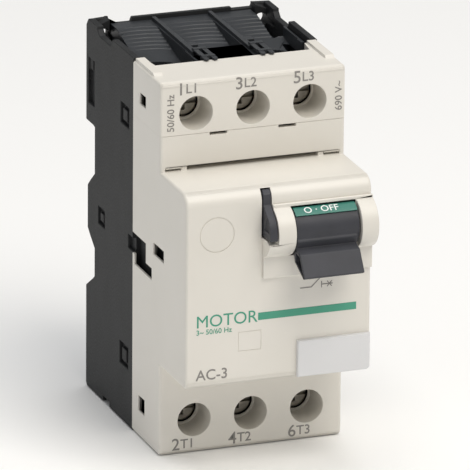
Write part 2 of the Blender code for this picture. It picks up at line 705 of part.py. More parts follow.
def make_plunger(name, x):
    """The iron core in a coil, with the rod that pushes forward at the trip bar."""
    profile = [(-0.9, 0), (-0.9, 0.9), (11.6, 0.9), (11.6, 1.9), (24.4, 1.9), (24.4, 0)]
    return finish(turned(profile, "y", (x, 0.0, COIL_Z), 14), name, "steel", (x, -0.9, COIL_Z))


def make_arc_chute(name, x):
    """A stack of splitter plates between two fibre cheeks, over the upper contact."""
    body = box((x - 5.9, 9.6, 62.4), (x + 5.9, 19.4, 73.0))
    for i in range(5):
        low = 63.3 + 1.9 * i
        cut(body, box((x - 5.1, 8.0, low), (x + 5.1, 22.0, low + 1.1)))
    cut(body, box((x - 1.6, 8.0, 60.0), (x + 1.6, 14.0, 72.0)))
    return finish(body, name, "fibre_steel")


def make_contact_carrier():
    """The insulating slide that the lever's cam pushes back, with a window for each moving contact."""
    follower = LEVER_Y + CAM_START + 0.15
    body = box((-19.0, -6.0, 50.2), (19.0, -2.0, 60.5))
    join(body, box((8.2, follower, 55.2), (12.8, -5.0, 63.2)))
    for x in POLES:
        join(body, box((x - 4.0, -3.0, 50.4), (x + 4.0, 18.2, 55.6)))
        cut(body, box((x - 3.1, 7.6, 48.0), (x + 3.1, BRIDGE_Y + PLATE_THICK + GAP, 58.0)))
    return finish(body, "contact_carrier", "brown")


def make_moving_contact(name, x):
    """The bridge that joins both fixed contacts of a pole, with a silver button at each end."""
    body = box((x - 2.6, BRIDGE_Y, 45.6), (x + 2.6, BRIDGE_Y + PLATE_THICK - 0.4, 60.4))
    for z in (47.4, 58.6):
        join(body, rod("y", (x, 0.0, z), BRIDGE_Y + 0.4, BRIDGE_Y + PLATE_THICK, 1.9, 12))
    return finish(body, name, "copper")


def make_trip_bar():
    """A bar across all poles, with a finger in front of each plunger and an arm up to the latch."""
    pivot_y, pivot_z = -4.4, 37.0
    body = rod("x", (0.0, pivot_y, pivot_z), -18.6, 18.6, 1.5, 14)
    for x in POLES:
        join(body, box((x - 1.6, pivot_y - 0.6, COIL_Z - 1.6), (x + 1.6, pivot_y + 0.6, pivot_z)))
    join(body, box((3.0, pivot_y - 0.6, pivot_z), (6.0, pivot_y + 0.6, 46.0)))
    return finish(body, "trip_bar", "brown", (-18.6, pivot_y, pivot_z))


def make_mechanism_bracket():
    """The steel frame behind the front wall that the mechanism stands in."""
    body = box((-19.0, MAIN_Y + 2.2, 26.0), (19.0, MAIN_Y + 3.2, 50.6))
    for side in (-1, 1):
        low_x, high_x = sorted((side * 18.9, side * 17.9))
        join(body, box((low_x, MAIN_Y + 2.4, 26.2), (high_x, -11.0, 50.4)))
    cut(body, box((-12.0, MAIN_Y + 1.0, 30.0), (12.0, MAIN_Y + 5.0, 44.0)))
    return finish(body, "mechanism_bracket", "steel")


# Rail fastening


def make_rail_latch():
    """The slide at the back that hooks under a rail's lower edge and is pulled down to let it go."""
    side = [(34.3, 0.6), (36.9, 0.6), (36.9, 30.6), (35.4, 32.2), (34.3, 32.2)]
    body = prism(side, "x", -6.2, 6.2)
    join(body, box((-4.2, 36.0, 0.6), (4.2, 38.4, 5.0)))
    cut(body, box((-2.6, 33.0, 10.9), (2.6, 38.0, 21.0)))
    cut(body, box((-2.0, 33.0, 1.8), (2.0, 40.0, 3.2)))
    return finish(body, "rail_latch", "black", (0.0, 35.6, 0.6))


def main():
    clear_scene()
    make_rear_housing()
    make_front_cover()
    make_upper_terminal_cover()
    make_upper_wire_guide()
    make_lower_wire_guide()
    make_lever_bezel()
    make_marker_plate()
    make_lever()
    make_padlock_slide()
    make_contact_carrier()
    make_trip_bar()
    make_mechanism_bracket()
    make_rail_latch()
    latch_spring = spring("z", (0.0, 35.6, 0.0), 12.1, 20.9, 1.0, 0.22, 6, "rail_latch_spring")
    finish(latch_spring, "rail_latch_spring", "steel")
    for number, x in enumerate(POLES, start=1):
        make_terminal_screw(f"line_screw_{number}", x, LINE_Z)
        make_terminal_screw(f"load_screw_{number}", x, LOAD_Z)
        make_clamp(f"line_clamp_{number}", x, LINE_Z)
        make_clamp(f"load_clamp_{number}", x, LOAD_Z)
        make_line_plate(f"line_plate_{number}", x)
        make_load_plate(f"load_plate_{number}", x)
        make_coil_strip(f"coil_strip_{number}", x)
        make_trip_coil(f"trip_coil_{number}", x)
        make_yoke(f"coil_yoke_{number}", x)
        make_plunger(f"trip_plunger_{number}", x)
        make_arc_chute(f"arc_chute_{number}", x)
        make_moving_contact(f"moving_contact_{number}", x)
        contact_spring = spring("y", (x, 0.0, 53.0), 7.9, BRIDGE_Y - GAP, 1.7, 0.3, 4, "contact_spring")
        finish(contact_spring, f"contact_spring_{number}", "steel")


main()
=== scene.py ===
"""Looks of a three-pole motor protection breaker for a 35 mm rail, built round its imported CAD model.

Frame: X to the right, the front faces -Y, +Z up, z = 0 at the bottom. New pieces are worked in
millimetres and brought to metres when they are finished.
"""

import json
import logging
import math
from collections.abc import Callable, Iterable, Sequence
from dataclasses import dataclass
from enum import Enum

import bmesh
import bpy
from mathutils import Matrix, Vector

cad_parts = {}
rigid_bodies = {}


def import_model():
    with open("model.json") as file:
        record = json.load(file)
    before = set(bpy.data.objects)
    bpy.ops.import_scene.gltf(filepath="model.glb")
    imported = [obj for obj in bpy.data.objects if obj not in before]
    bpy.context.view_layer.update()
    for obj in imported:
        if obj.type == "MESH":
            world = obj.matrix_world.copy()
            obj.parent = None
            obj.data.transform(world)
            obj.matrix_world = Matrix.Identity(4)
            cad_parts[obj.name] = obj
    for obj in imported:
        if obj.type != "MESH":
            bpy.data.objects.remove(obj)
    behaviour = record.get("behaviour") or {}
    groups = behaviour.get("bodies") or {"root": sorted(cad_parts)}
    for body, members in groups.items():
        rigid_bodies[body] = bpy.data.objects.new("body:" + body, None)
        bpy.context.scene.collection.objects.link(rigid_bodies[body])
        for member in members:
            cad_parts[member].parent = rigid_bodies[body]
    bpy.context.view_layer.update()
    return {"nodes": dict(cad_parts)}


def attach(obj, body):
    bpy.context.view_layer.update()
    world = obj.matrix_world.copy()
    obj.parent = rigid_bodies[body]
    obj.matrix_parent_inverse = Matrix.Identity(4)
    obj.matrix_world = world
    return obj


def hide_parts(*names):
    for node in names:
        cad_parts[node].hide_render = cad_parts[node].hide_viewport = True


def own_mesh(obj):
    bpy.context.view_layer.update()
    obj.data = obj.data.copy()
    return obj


for leftover in list(bpy.data.objects):
    bpy.data.objects.remove(leftover, do_unlink=True)

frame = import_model()

LOG = logging.getLogger("breaker")
MM = 0.001
# Points nearer than this are one, in millimetres: on a new solid, and after cuts.
MERGE = 0.0005
CUT_MERGE = 0.003
# Faces that meet at less than this, in degrees, are joined after cuts.
FLAT_DEGREES = 0.15
# The steps in a millimetre that a new solid's points are set on.
GRID = 1024
# Shading angles below this, in degrees, are for fine ribs, and their normals aren't evened.
RIB_DEGREES = 25.0
Point = tuple[float, float]
Triple = tuple[float, float, float]
Solid = bpy.types.Object
Edge = bmesh.types.BMEdge


class Axis(Enum):
    """The direction that an outline is pushed along or a profile is spun round."""

    X = 0
    Y = 1
    Z = 2

    def place(self, first: float, second: float, along: float) -> Vector:
        """A point from its two coordinates across the axis and the one along it."""
        if self is Axis.X:
            return Vector((along, first, second))
        if self is Axis.Y:
            return Vector((first, along, second))
        return Vector((first, second, along))


class Join(Enum):
    """How one solid changes another."""

    ADD = "UNION"
    CUT = "DIFFERENCE"
    KEEP = "INTERSECT"


class Body(Enum):
    """The moving bodies of the breaker that new pieces ride on."""

    CASING = "casing"
    LEVER = "lever"
    SLIDE = "padlock_slide"
    LATCH = "rail_latch"


class Slot(Enum):
    """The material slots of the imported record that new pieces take."""

    CREAM = "cream_plastic"
    BLACK = "black_plastic"
    GREY = "grey_plastic"
    GREEN = "green_plastic"
    WHITE = "white_plastic"
    STEEL = "steel"


# Finishes


def linear(code: str) -> tuple[float, float, float, float]:
    """Turns an sRGB hex colour into Blender's linear one.

    Args:
        code: Six hex digits with a leading #.

    Returns:
        Red, green, blue and alpha in linear light.
    """
    values = [int(code[i : i + 2], 16) / 255 for i in (1, 3, 5)]
    red, green, blue = (v / 12.92 if v <= 0.04045 else ((v + 0.055) / 1.055) ** 2.4 for v in values)
    return red, green, blue, 1.0


def add_node(
    tree: bpy.types.NodeTree,
    kind: str,
    settings: dict[str | int, object] | None = None,
    links: dict[str | int, bpy.types.NodeSocket] | None = None,
) -> bpy.types.Node:
    """Adds one node with its settings and links.

    Args:
        tree: The material's node tree.
        kind: The node's type name.
        settings: Values for its properties, or for its input sockets by name or index.
        links: Source sockets for its input sockets by name or index.

    Returns:
        The new node.
    """
    made = tree.nodes.new(kind)
    for key, value in (settings or {}).items():
        if isinstance(key, str) and hasattr(made, key):
            setattr(made, key, value)
    for key, value in (settings or {}).items():
        if isinstance(key, int) or not hasattr(made, key):
            made.inputs[key].default_value = value
    for key, source in (links or {}).items():
        tree.links.new(source, made.inputs[key])
    return made


MIX_FACTOR, MIX_A, MIX_B, MIX_RESULT = 0, 6, 7, 2


@dataclass(frozen=True)
class Finish:
    """A surface with a soft mottle in its colour, an uneven gloss and a fine grain.

    Sizes are in millimetres: the grain's spacing and depth, and the mottle's spacing.
    """

    name: str
    base: str
    shade: str
    roughness: float
    gloss_swing: float
    grain: float
    grain_depth: float
    mottle: float
    ior: float = 1.5
    metallic: float = 0.0
    coat: float = 0.0
    specular: float = 0.5
    stretch: Triple = (1.0, 1.0, 1.0)

    def material(self) -> bpy.types.Material:
        """The finish as a material, made once."""
        found = bpy.data.materials.get(self.name)
        if found:
            return found
        made = bpy.data.materials.new(self.name)
        made.use_nodes = True
        tree = made.node_tree
        tree.nodes.clear()
        out = add_node(tree, "ShaderNodeOutputMaterial")
        shader = self.shader(tree)
        tree.links.new(shader.outputs["BSDF"], out.inputs["Surface"])
        made.diffuse_color = linear(self.base)
        return made

    def shader(self, tree: bpy.types.NodeTree) -> bpy.types.Node:
        """Builds the nodes of the finish.

        Args:
            tree: The material's node tree.

        Returns:
            The shader node.
        """
        place = add_node(tree, "ShaderNodeTexCoord")
        spot = place.outputs["Object"]
        turned = add_node(tree, "ShaderNodeMapping", {"Scale": self.stretch}, {"Vector": spot})
        patches = add_node(
            tree,
            "ShaderNodeTexNoise",
            {"Scale": 1 / (self.mottle * MM), "Detail": 3.0, "Roughness": 0.55},
            {"Vector": turned.outputs["Vector"]},
        )
        spread = add_node(
            tree, "ShaderNodeMapRange", {"From Min": 0.3, "From Max": 0.7}, {"Value": patches.outputs["Fac"]}
        )
        colour = add_node(
            tree,
            "ShaderNodeMix",
            {"data_type": "RGBA", MIX_A: linear(self.base), MIX_B: linear(self.shade)},
            {MIX_FACTOR: spread.outputs["Result"]},
        )
        grain = add_node(
            tree,
            "ShaderNodeTexNoise",
            {"Scale": 1 / (self.grain * MM), "Detail": 2.0, "Roughness": 0.6},
            {"Vector": turned.outputs["Vector"]},
        )
        gloss = add_node(
            tree,
            "ShaderNodeMapRange",
            {
                "From Min": 0.3,
                "From Max": 0.7,
                "To Min": self.roughness - self.gloss_swing,
                "To Max": self.roughness + self.gloss_swing,
            },
            {"Value": grain.outputs["Fac"]},
        )
        bump = add_node(
            tree,
            "ShaderNodeBump",
            {"Strength": 1.0, "Distance": self.grain_depth * MM},
            {"Height": grain.outputs["Fac"]},
        )
        return add_node(
            tree,
            "ShaderNodeBsdfPrincipled",
            {"Metallic": self.metallic, "IOR": self.ior, "Coat Weight": self.coat, "Coat Roughness": 0.15,
             "Specular IOR Level": self.specular},
            {
                "Base Color": colour.outputs[MIX_RESULT],
                "Roughness": gloss.outputs["Result"],
                "Normal": bump.outputs["Normal"],
            },
        )


@dataclass(frozen=True)
class PlateStack(Finish):
    """Steel splitter plates stacked between fibre cheeks: grey bands in brown fibre, by height."""

    pitch: float = 1.9
    first: float = 62.4
    plate: float = 0.8
    steel: str = "#8f8f8b"

    def shader(self, tree: bpy.types.NodeTree) -> bpy.types.Node:
        """The plain finish, with bands of steel laid over its colour."""
        shader = super().shader(tree)
        place = add_node(tree, "ShaderNodeTexCoord")
        split = add_node(tree, "ShaderNodeSeparateXYZ", links={"Vector": place.outputs["Object"]})
        height = add_node(
            tree, "ShaderNodeMath", {"operation": "SUBTRACT", 1: self.first * MM}, {0: split.outputs["Z"]}
        )
        turns = add_node(
            tree, "ShaderNodeMath", {"operation": "DIVIDE", 1: self.pitch * MM}, {0: height.outputs[0]}
        )
        within = add_node(tree, "ShaderNodeMath", {"operation": "FRACT"}, {0: turns.outputs[0]})
        share = self.plate / self.pitch
        band = add_node(tree, "ShaderNodeMath", {"operation": "LESS_THAN", 1: share}, {0: within.outputs[0]})
        fibre = shader.inputs["Base Color"].links[0].from_socket
        colour = add_node(
            tree,
            "ShaderNodeMix",
            {"data_type": "RGBA", MIX_B: linear(self.steel)},
            {MIX_FACTOR: band.outputs[0], MIX_A: fibre},
        )
        tree.links.new(colour.outputs[MIX_RESULT], shader.inputs["Base Color"])
        return shader


# Polycarbonate blend from a spark-eroded mould: an even satin cream with a very fine grain. The real grain
# is near 0.05 mm; it is drawn at 0.3 mm so that it shows.
MOULDED_CREAM = Finish(
    "moulded_cream_polycarbonate", "#e4e0d8", "#dfdbd2",
    0.42, 0.05, 0.3, 0.004, 30.0, 1.58,
)  # fmt: skip
# Glass-filled nylon: near black, dull, with faint streaks where the melt flowed.
GLASS_FILLED_NYLON = Finish(
    "glass_filled_black_nylon", "#242526", "#2a2b2c",
    0.6, 0.08, 0.25, 0.008, 5.0, 1.53, specular=0.25, stretch=(1.0, 1.0, 0.5),
)  # fmt: skip
# The same nylon on the wire entries, a little more blue and polished by the slides of the mould.
POLISHED_NYLON = Finish(
    "polished_black_nylon", "#282b2e", "#303337",
    0.4, 0.06, 0.3, 0.004, 6.0, 1.53, specular=0.4,
)  # fmt: skip
# Polyamide with a fine satin texture on the handle.
SATIN_GREY_NYLON = Finish(
    "satin_grey_nylon", "#3a3b40", "#404147",
    0.5, 0.06, 0.3, 0.005, 8.0, 1.53, specular=0.3,
)  # fmt: skip
# Hot-stamped foil on the drum, smooth with a soft gloss.
GREEN_FOIL = Finish("green_stamping_foil", "#34776a", "#387c6e", 0.35, 0.04, 0.4, 0.002, 6.0, 1.5)
# Pad-printed ink, flat and slightly duller than the plastic under it.
GREEN_INK = Finish("green_pad_ink", "#489a80", "#4c9e84", 0.55, 0.05, 0.3, 0.003, 5.0, 1.48)
GREY_INK = Finish("grey_pad_ink", "#85827e", "#8d8a86", 0.55, 0.05, 0.3, 0.003, 4.0, 1.48)
WHITE_INK = Finish("white_pad_ink", "#f2f4f2", "#e9ecea", 0.5, 0.05, 0.3, 0.003, 4.0, 1.48)
# A clipped-on label carrier in glossy white ABS.
GLOSSY_WHITE_ABS = Finish("glossy_white_abs", "#dededf", "#dadadb", 0.3, 0.02, 1.5, 0.001, 20.0, 1.54)
# Zinc-plated steel: grey with a faint warm bloom and rolling marks.
ZINC_PLATED_STEEL = Finish(
    "zinc_plated_steel", "#b8b4aa", "#9f9b93",
    0.42, 0.08, 0.25, 0.006, 1.6, metallic=1.0, stretch=(1.0, 1.0, 2.0),
)  # fmt: skip
SPRING_STEEL = Finish("drawn_spring_steel", "#8d8e90", "#77787a", 0.25, 0.06, 0.2, 0.003, 1.0, metallic=1.0)
# Rolled copper with a thin brown tarnish.
ROLLED_COPPER = Finish("rolled_copper", "#c98a66", "#a8694a", 0.28, 0.08, 0.3, 0.004, 2.5, metallic=1.0)
# Drawn copper under a clear amber enamel.
ENAMELLED_WIRE = Finish(
    "enamelled_copper_wire", "#9c4a25", "#7f3719", 0.35, 0.05, 0.4, 0.004, 1.5, metallic=0.7, coat=0.6
)
# Phenolic moulding: dark brown with coarse filler in it.
PHENOLIC_BROWN = Finish("phenolic_brown", "#4b372c", "#3b2a21", 0.48, 0.08, 0.35, 0.01, 1.2, 1.6)
FIBRE_AND_STEEL = PlateStack(
    "vulcanised_fibre_and_steel", "#6b5346", "#5c463a",
    0.6, 0.08, 0.3, 0.01, 1.5, 1.5,
)  # fmt: skip


# Modelling steps


def select_only(obj: Solid) -> None:
    """Makes one object the selected and active one, in object mode."""
    if bpy.context.mode != "OBJECT":
        bpy.ops.object.mode_set(mode="OBJECT")
    bpy.ops.object.select_all(action="DESELECT")
    obj.select_set(True)
    bpy.context.view_layer.objects.active = obj


def start_fresh() -> None:
    """Leaves nothing selected, so that a new primitive stands alone."""
    if bpy.context.mode != "OBJECT":
        bpy.ops.object.mode_set(mode="OBJECT")
    bpy.ops.object.select_all(action="DESELECT")


def apply_place(obj: Solid) -> None:
    """Moves an object's place, turn and scale into its mesh."""
    select_only(obj)
    bpy.ops.object.transform_apply(location=True, rotation=True, scale=True)


def arc(centre: Point, radius: float, start: float, end: float, steps: int) -> list[Point]:
    """Points on an arc.

    Args:
        centre: The arc's centre.
        radius: Its radius.
        start: Its first angle, in degrees.
        end: Its last angle, in degrees.
        steps: The number of chords.

    Returns:
        The points, with both ends.
    """
    turns = [math.radians(start + (end - start) * i / steps) for i in range(steps + 1)]
    return [(centre[0] + radius * math.cos(t), centre[1] + radius * math.sin(t)) for t in turns]


def settle(obj: Solid) -> Solid:
    """Puts a new solid's points on a fine grid, so that faces meant to be flush are exactly so."""
    for point in obj.data.vertices:
        point.co = [round(value * GRID) / GRID for value in point.co]
    return obj


def chain(points: Sequence[Vector]) -> Solid:
    """Draws a line of vertices by extruding one point after another, and stays in edit mode.

    Args:
        points: The line's points.

    Returns:
        The new object, with all of the line selected.
    """
    start_fresh()
    bpy.ops.mesh.primitive_plane_add(size=1.0)
    made = bpy.context.active_object
    bpy.ops.object.mode_set(mode="EDIT")
    bpy.ops.mesh.select_mode(type="VERT")
    bpy.ops.mesh.select_all(action="SELECT")
    bpy.ops.mesh.merge(type="CENTER")
    bpy.ops.transform.translate(value=points[0])
    for before, after in zip(points, points[1:]):
        bpy.ops.mesh.extrude_vertices_move(TRANSFORM_OT_translate={"value": after - before})
    bpy.ops.mesh.select_all(action="SELECT")
    return made


def face_outward() -> None:
    """Turns every face of the object in edit mode outward, and leaves edit mode."""
    bpy.ops.mesh.select_all(action="SELECT")
    bpy.ops.mesh.normals_make_consistent(inside=False)
    bpy.ops.object.mode_set(mode="OBJECT")


def slab(outline: Sequence[Point], axis: Axis, low: float, high: float) -> Solid:
    """An outline pushed along an axis.

    Args:
        outline: Points as (y, z) along X, (x, z) along Y and (x, y) along Z.
        axis: The direction of the push.
        low: Where the solid starts.
        high: Where it ends.

    Returns:
        The closed solid.
    """
    made = chain([axis.place(a, b, low) for a, b in outline])
    bpy.ops.mesh.edge_face_add()
    push = axis.place(0.0, 0.0, high - low)
    bpy.ops.mesh.extrude_region_move(TRANSFORM_OT_translate={"value": push})
    face_outward()
    return settle(made)


def block(low: Triple, high: Triple) -> Solid:
    """A block from its lowest to its highest corner."""
    start_fresh()
    middle = [(a + b) / 2 for a, b in zip(low, high)]
    bpy.ops.mesh.primitive_cube_add(size=1.0, location=middle)
    made = bpy.context.active_object
    made.scale = [b - a for a, b in zip(low, high)]
    apply_place(made)
    return settle(made)


def bar(axis: Axis, centre: Point, low: float, high: float, radius: float, sides: int = 48) -> Solid:
    """A round bar.

    Args:
        axis: The direction of its length.
        centre: Its middle in the two coordinates across the axis.
        low: Where it starts.
        high: Where it ends.
        radius: Its radius.
        sides: The number of flats round it.

    Returns:
        The closed solid.
    """
    start_fresh()
    turn = {Axis.X: (0.0, math.pi / 2, 0.0), Axis.Y: (math.pi / 2, 0.0, 0.0), Axis.Z: (0.0, 0.0, 0.0)}[axis]
    bpy.ops.mesh.primitive_cylinder_add(
        vertices=sides,
        radius=radius,
        depth=high - low,
        location=axis.place(centre[0], centre[1], (low + high) / 2),
        rotation=turn,
    )
    made = bpy.context.active_object
    apply_place(made)
    return settle(made)


def spun(profile: Sequence[Point], axis: Axis, centre: Triple, steps: int = 48) -> Solid:
    """A profile spun round an axis.

    Args:
        profile: Points as (distance along the axis, radius).
        axis: The axis to spin round.
        centre: A point that the axis passes through.
        steps: The number of flats round it.

    Returns:
        The closed solid.
    """
    middle = Vector(centre)
    made = chain([middle + axis.place(radius, 0.0, along) for along, radius in profile])
    direction = axis.place(0.0, 0.0, 1.0)
    bpy.ops.mesh.spin(steps=steps, angle=2 * math.pi, center=middle, axis=direction)
    bpy.ops.mesh.select_all(action="SELECT")
    bpy.ops.mesh.remove_doubles(threshold=MERGE)
    bpy.ops.mesh.normals_make_consistent(inside=False)
    bpy.ops.object.mode_set(mode="OBJECT")
    return settle(made)


def combine(how: Join, target: Solid, *others: Solid) -> Solid:
    """Adds solids to another, cuts them from it or keeps what they share.

    Args:
        how: What to do.
        target: The solid that stays.
        others: The solids that are used up.

    Returns:
        The target.
    """
    for other in others:
        select_only(target)
        bpy.ops.object.modifier_add(type="BOOLEAN")
        change = target.modifiers[-1]
        change.operation = how.value
        change.solver = "EXACT"
        change.object = other
        bpy.ops.object.modifier_apply(modifier=change.name)
        bpy.data.objects.remove(other, do_unlink=True)
    return target


def add(target: Solid, *others: Solid) -> Solid:
    """Adds solids to another."""
    return combine(Join.ADD, target, *others)


def cut(target: Solid, *others: Solid) -> Solid:
    """Cuts solids from another."""
    return combine(Join.CUT, target, *others)


def keep(target: Solid, other: Solid) -> Solid:
    """Keeps what a solid shares with another."""
    return combine(Join.KEEP, target, other)


def select_edges(obj: Solid, wanted: Callable[[Edge], bool]) -> int:
    """Selects edges in edit mode.

    Args:
        obj: The object to open.
        wanted: Says whether an edge is taken.

    Returns:
        How many were taken.
    """
    select_only(obj)
    bpy.ops.object.mode_set(mode="EDIT")
    bpy.ops.mesh.select_mode(type="EDGE")
    bpy.ops.mesh.select_all(action="DESELECT")
    shape = bmesh.from_edit_mesh(obj.data)
    taken = [edge for edge in shape.edges if wanted(edge)]
    for edge in taken:
        edge.select = True
    bmesh.update_edit_mesh(obj.data)
    return len(taken)


def round_edges(
    obj: Solid, radius: float, segments: int, wanted: Callable[[Edge], bool]
) -> None:
    """Rounds the edges that are picked out."""
    if select_edges(obj, wanted):
        bpy.ops.mesh.bevel(offset=radius, segments=segments, affect="EDGES", clamp_overlap=False)
    bpy.ops.object.mode_set(mode="OBJECT")


def is_sharp(edge: Edge, degrees: float = 30.0) -> bool:
    """True where an edge's two faces meet at more than this angle."""
    return len(edge.link_faces) == 2 and edge.calc_face_angle(0.0) > math.radians(degrees)


def clean(obj: Solid) -> None:
    """Merges points that cuts left on each other and joins faces that lie flat together."""
    select_only(obj)
    bpy.ops.object.mode_set(mode="EDIT")
    bpy.ops.mesh.select_all(action="SELECT")
    bpy.ops.mesh.remove_doubles(threshold=CUT_MERGE)
    bpy.ops.mesh.dissolve_limited(angle_limit=math.radians(FLAT_DEGREES))
    bpy.ops.object.mode_set(mode="OBJECT")


def soften(
    obj: Solid,
    radius: float,
    segments: int = 2,
    leave: Callable[[Vector], bool] = lambda middle: False,
    degrees: float = 32.0,
) -> None:
    """Cleans a solid and gives its sharp edges the small radius of a moulding or a tumbled part.

    Args:
        obj: The solid.
        radius: The width of the rounding.
        segments: The number of flats across it.
        leave: Says which edges stay sharp, by their middles.
        degrees: Edges that meet at less than this stay as they are.
    """
    clean(obj)

    def wanted(edge: Edge) -> bool:
        return is_sharp(edge, degrees) and not leave((edge.verts[0].co + edge.verts[1].co) / 2)

    round_edges(obj, radius, segments, wanted)


def split_across(obj: Solid, *depths: float) -> None:
    """Splits the faces of an object at planes of constant y, so that each flat face has a simple outline."""
    select_only(obj)
    bpy.ops.object.mode_set(mode="EDIT")
    for depth in depths:
        bpy.ops.mesh.select_all(action="SELECT")
        bpy.ops.mesh.bisect(plane_co=(0.0, depth, 0.0), plane_no=(0.0, 1.0, 0.0))
    bpy.ops.object.mode_set(mode="OBJECT")


def copied(obj: Solid, move: Triple) -> Solid:
    """A copy of an object with its own mesh, moved to its place."""
    select_only(obj)
    bpy.ops.object.duplicate()
    made = bpy.context.active_object
    made.location = move
    apply_place(made)
    return made


def even_normals(obj: Solid, degrees: float) -> None:
    """Shades an object smooth, with large flat faces staying flat beside their rounded edges."""
    select_only(obj)
    bpy.ops.object.shade_smooth_by_angle(angle=math.radians(degrees))
    if degrees < RIB_DEGREES:
        return
    bpy.ops.object.modifier_add(type="WEIGHTED_NORMAL")
    even = obj.modifiers[-1]
    even.keep_sharp = True
    bpy.ops.object.modifier_apply(modifier=even.name)


def finish_piece(
    obj: Solid,
    name: str,
    body: Body | str,
    finish: Finish,
    stands_for: Iterable[str] = (),
    degrees: float = 40.0,
) -> Solid:
    """Brings a piece to metres, dresses it and hands it to the frame.

    Args:
        obj: The piece, in millimetres.
        name: Its name in the visual model.
        body: The body that it rides on. A body that holds one node has the node's name.
        finish: Its finish.
        stands_for: The CAD nodes that it replaces.
        degrees: Faces that meet at less than this are shaded as one.

    Returns:
        The piece.
    """
    obj.scale = (MM, MM, MM)
    apply_place(obj)
    even_normals(obj, degrees)
    obj.name = name
    obj.data.name = name
    obj.data.materials.clear()
    obj.data.materials.append(finish.material())
    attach(obj, body.value if isinstance(body, Body) else body)
    if stands_for:
        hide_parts(*stands_for)
    LOG.info("%s: %d faces, %s", name, len(obj.data.polygons), finish.name)
    return obj


# Casing

POLES = (-13.7, 0.0, 13.7)
HALF = 22.25
FACE_Y = -12.0
MAIN_Y = -29.6
SPLIT_Y = 6.4
REAR_Y = 38.9
SEAM_Z = 76.6
SEAM_GAP = 0.012
BLOCK_TOP = 68.2
BLOCK_BOTTOM = 21.9
BAND_BOTTOM = 69.2
FRONT_TOP = 89.2
SIDE_TOP = 89.9
WALL = 1.6
WINDOW_WALL = 0.6
LINE_Z = 81.5
LOAD_Z = 7.9
MIRROR_Z = LINE_Z + LOAD_Z
LEVER_Y = -28.7
LEVER_Z = 57.7
SHAFT_BORE = 1.6
SLIDE_LEFT = -3.95
SLIDE_RIGHT = -2.1


def on_side(edge: Edge) -> bool:
    """True for an edge of the outline at either side of the casing, apart from the one at the joint line."""
    first, second = (v.co for v in edge.verts)
    outside = min(abs(first.x), abs(second.x)) > HALF - 0.01
    return outside and min(first.y, second.y) < SPLIT_Y - 0.01


def mirrored(low_x: float, high_x: float, rest: Callable[[float, float], Solid]) -> list[Solid]:
    """The same solid on the left and on the right, from its x range on the right."""
    return [rest(low_x, high_x), rest(-high_x, -low_x)]


def twin_blocks(low_x: float, high_x: float, low: Point, high: Point) -> list[Solid]:
    """A block on the right and on the left, from its x range on the right and its corners as (y, z)."""
    return mirrored(low_x, high_x, lambda a, b: block((a, *low), (b, *high)))


def thinned_wall(low_y: float, high_y: float, low_z: float, high_z: float) -> list[Solid]:
    """Cutters that thin each side wall from inside, round a window."""
    low, high = (low_y - 1.2, low_z - 1.0), (high_y + 1.6, high_z + 1.0)
    return twin_blocks(HALF - WALL - 0.1, HALF - WINDOW_WALL, low, high)


@dataclass
class TerminalWells:
    """The round wells that a screwdriver goes down, one for each pole."""

    height: float
    radius: float = 4.0
    wall: float = 0.6
    depth: float = 8.9
    lip: float = 0.55

    def fit(self, cover: Solid) -> None:
        """Adds the tubes to a cover and opens them through its face."""
        back = FACE_Y + self.depth
        centres = [(x, self.height) for x in POLES]
        for centre in centres:
            add(cover, bar(Axis.Y, centre, FACE_Y + 0.4, back, self.radius + self.wall, 64))
        for centre in centres:
            bore = bar(Axis.Y, centre, FACE_Y - 1.0, back - self.lip, self.radius, 64)
            end = bar(Axis.Y, centre, FACE_Y + 4.0, back + 1.0, self.radius - self.lip, 64)
            cut(cover, bore, end)


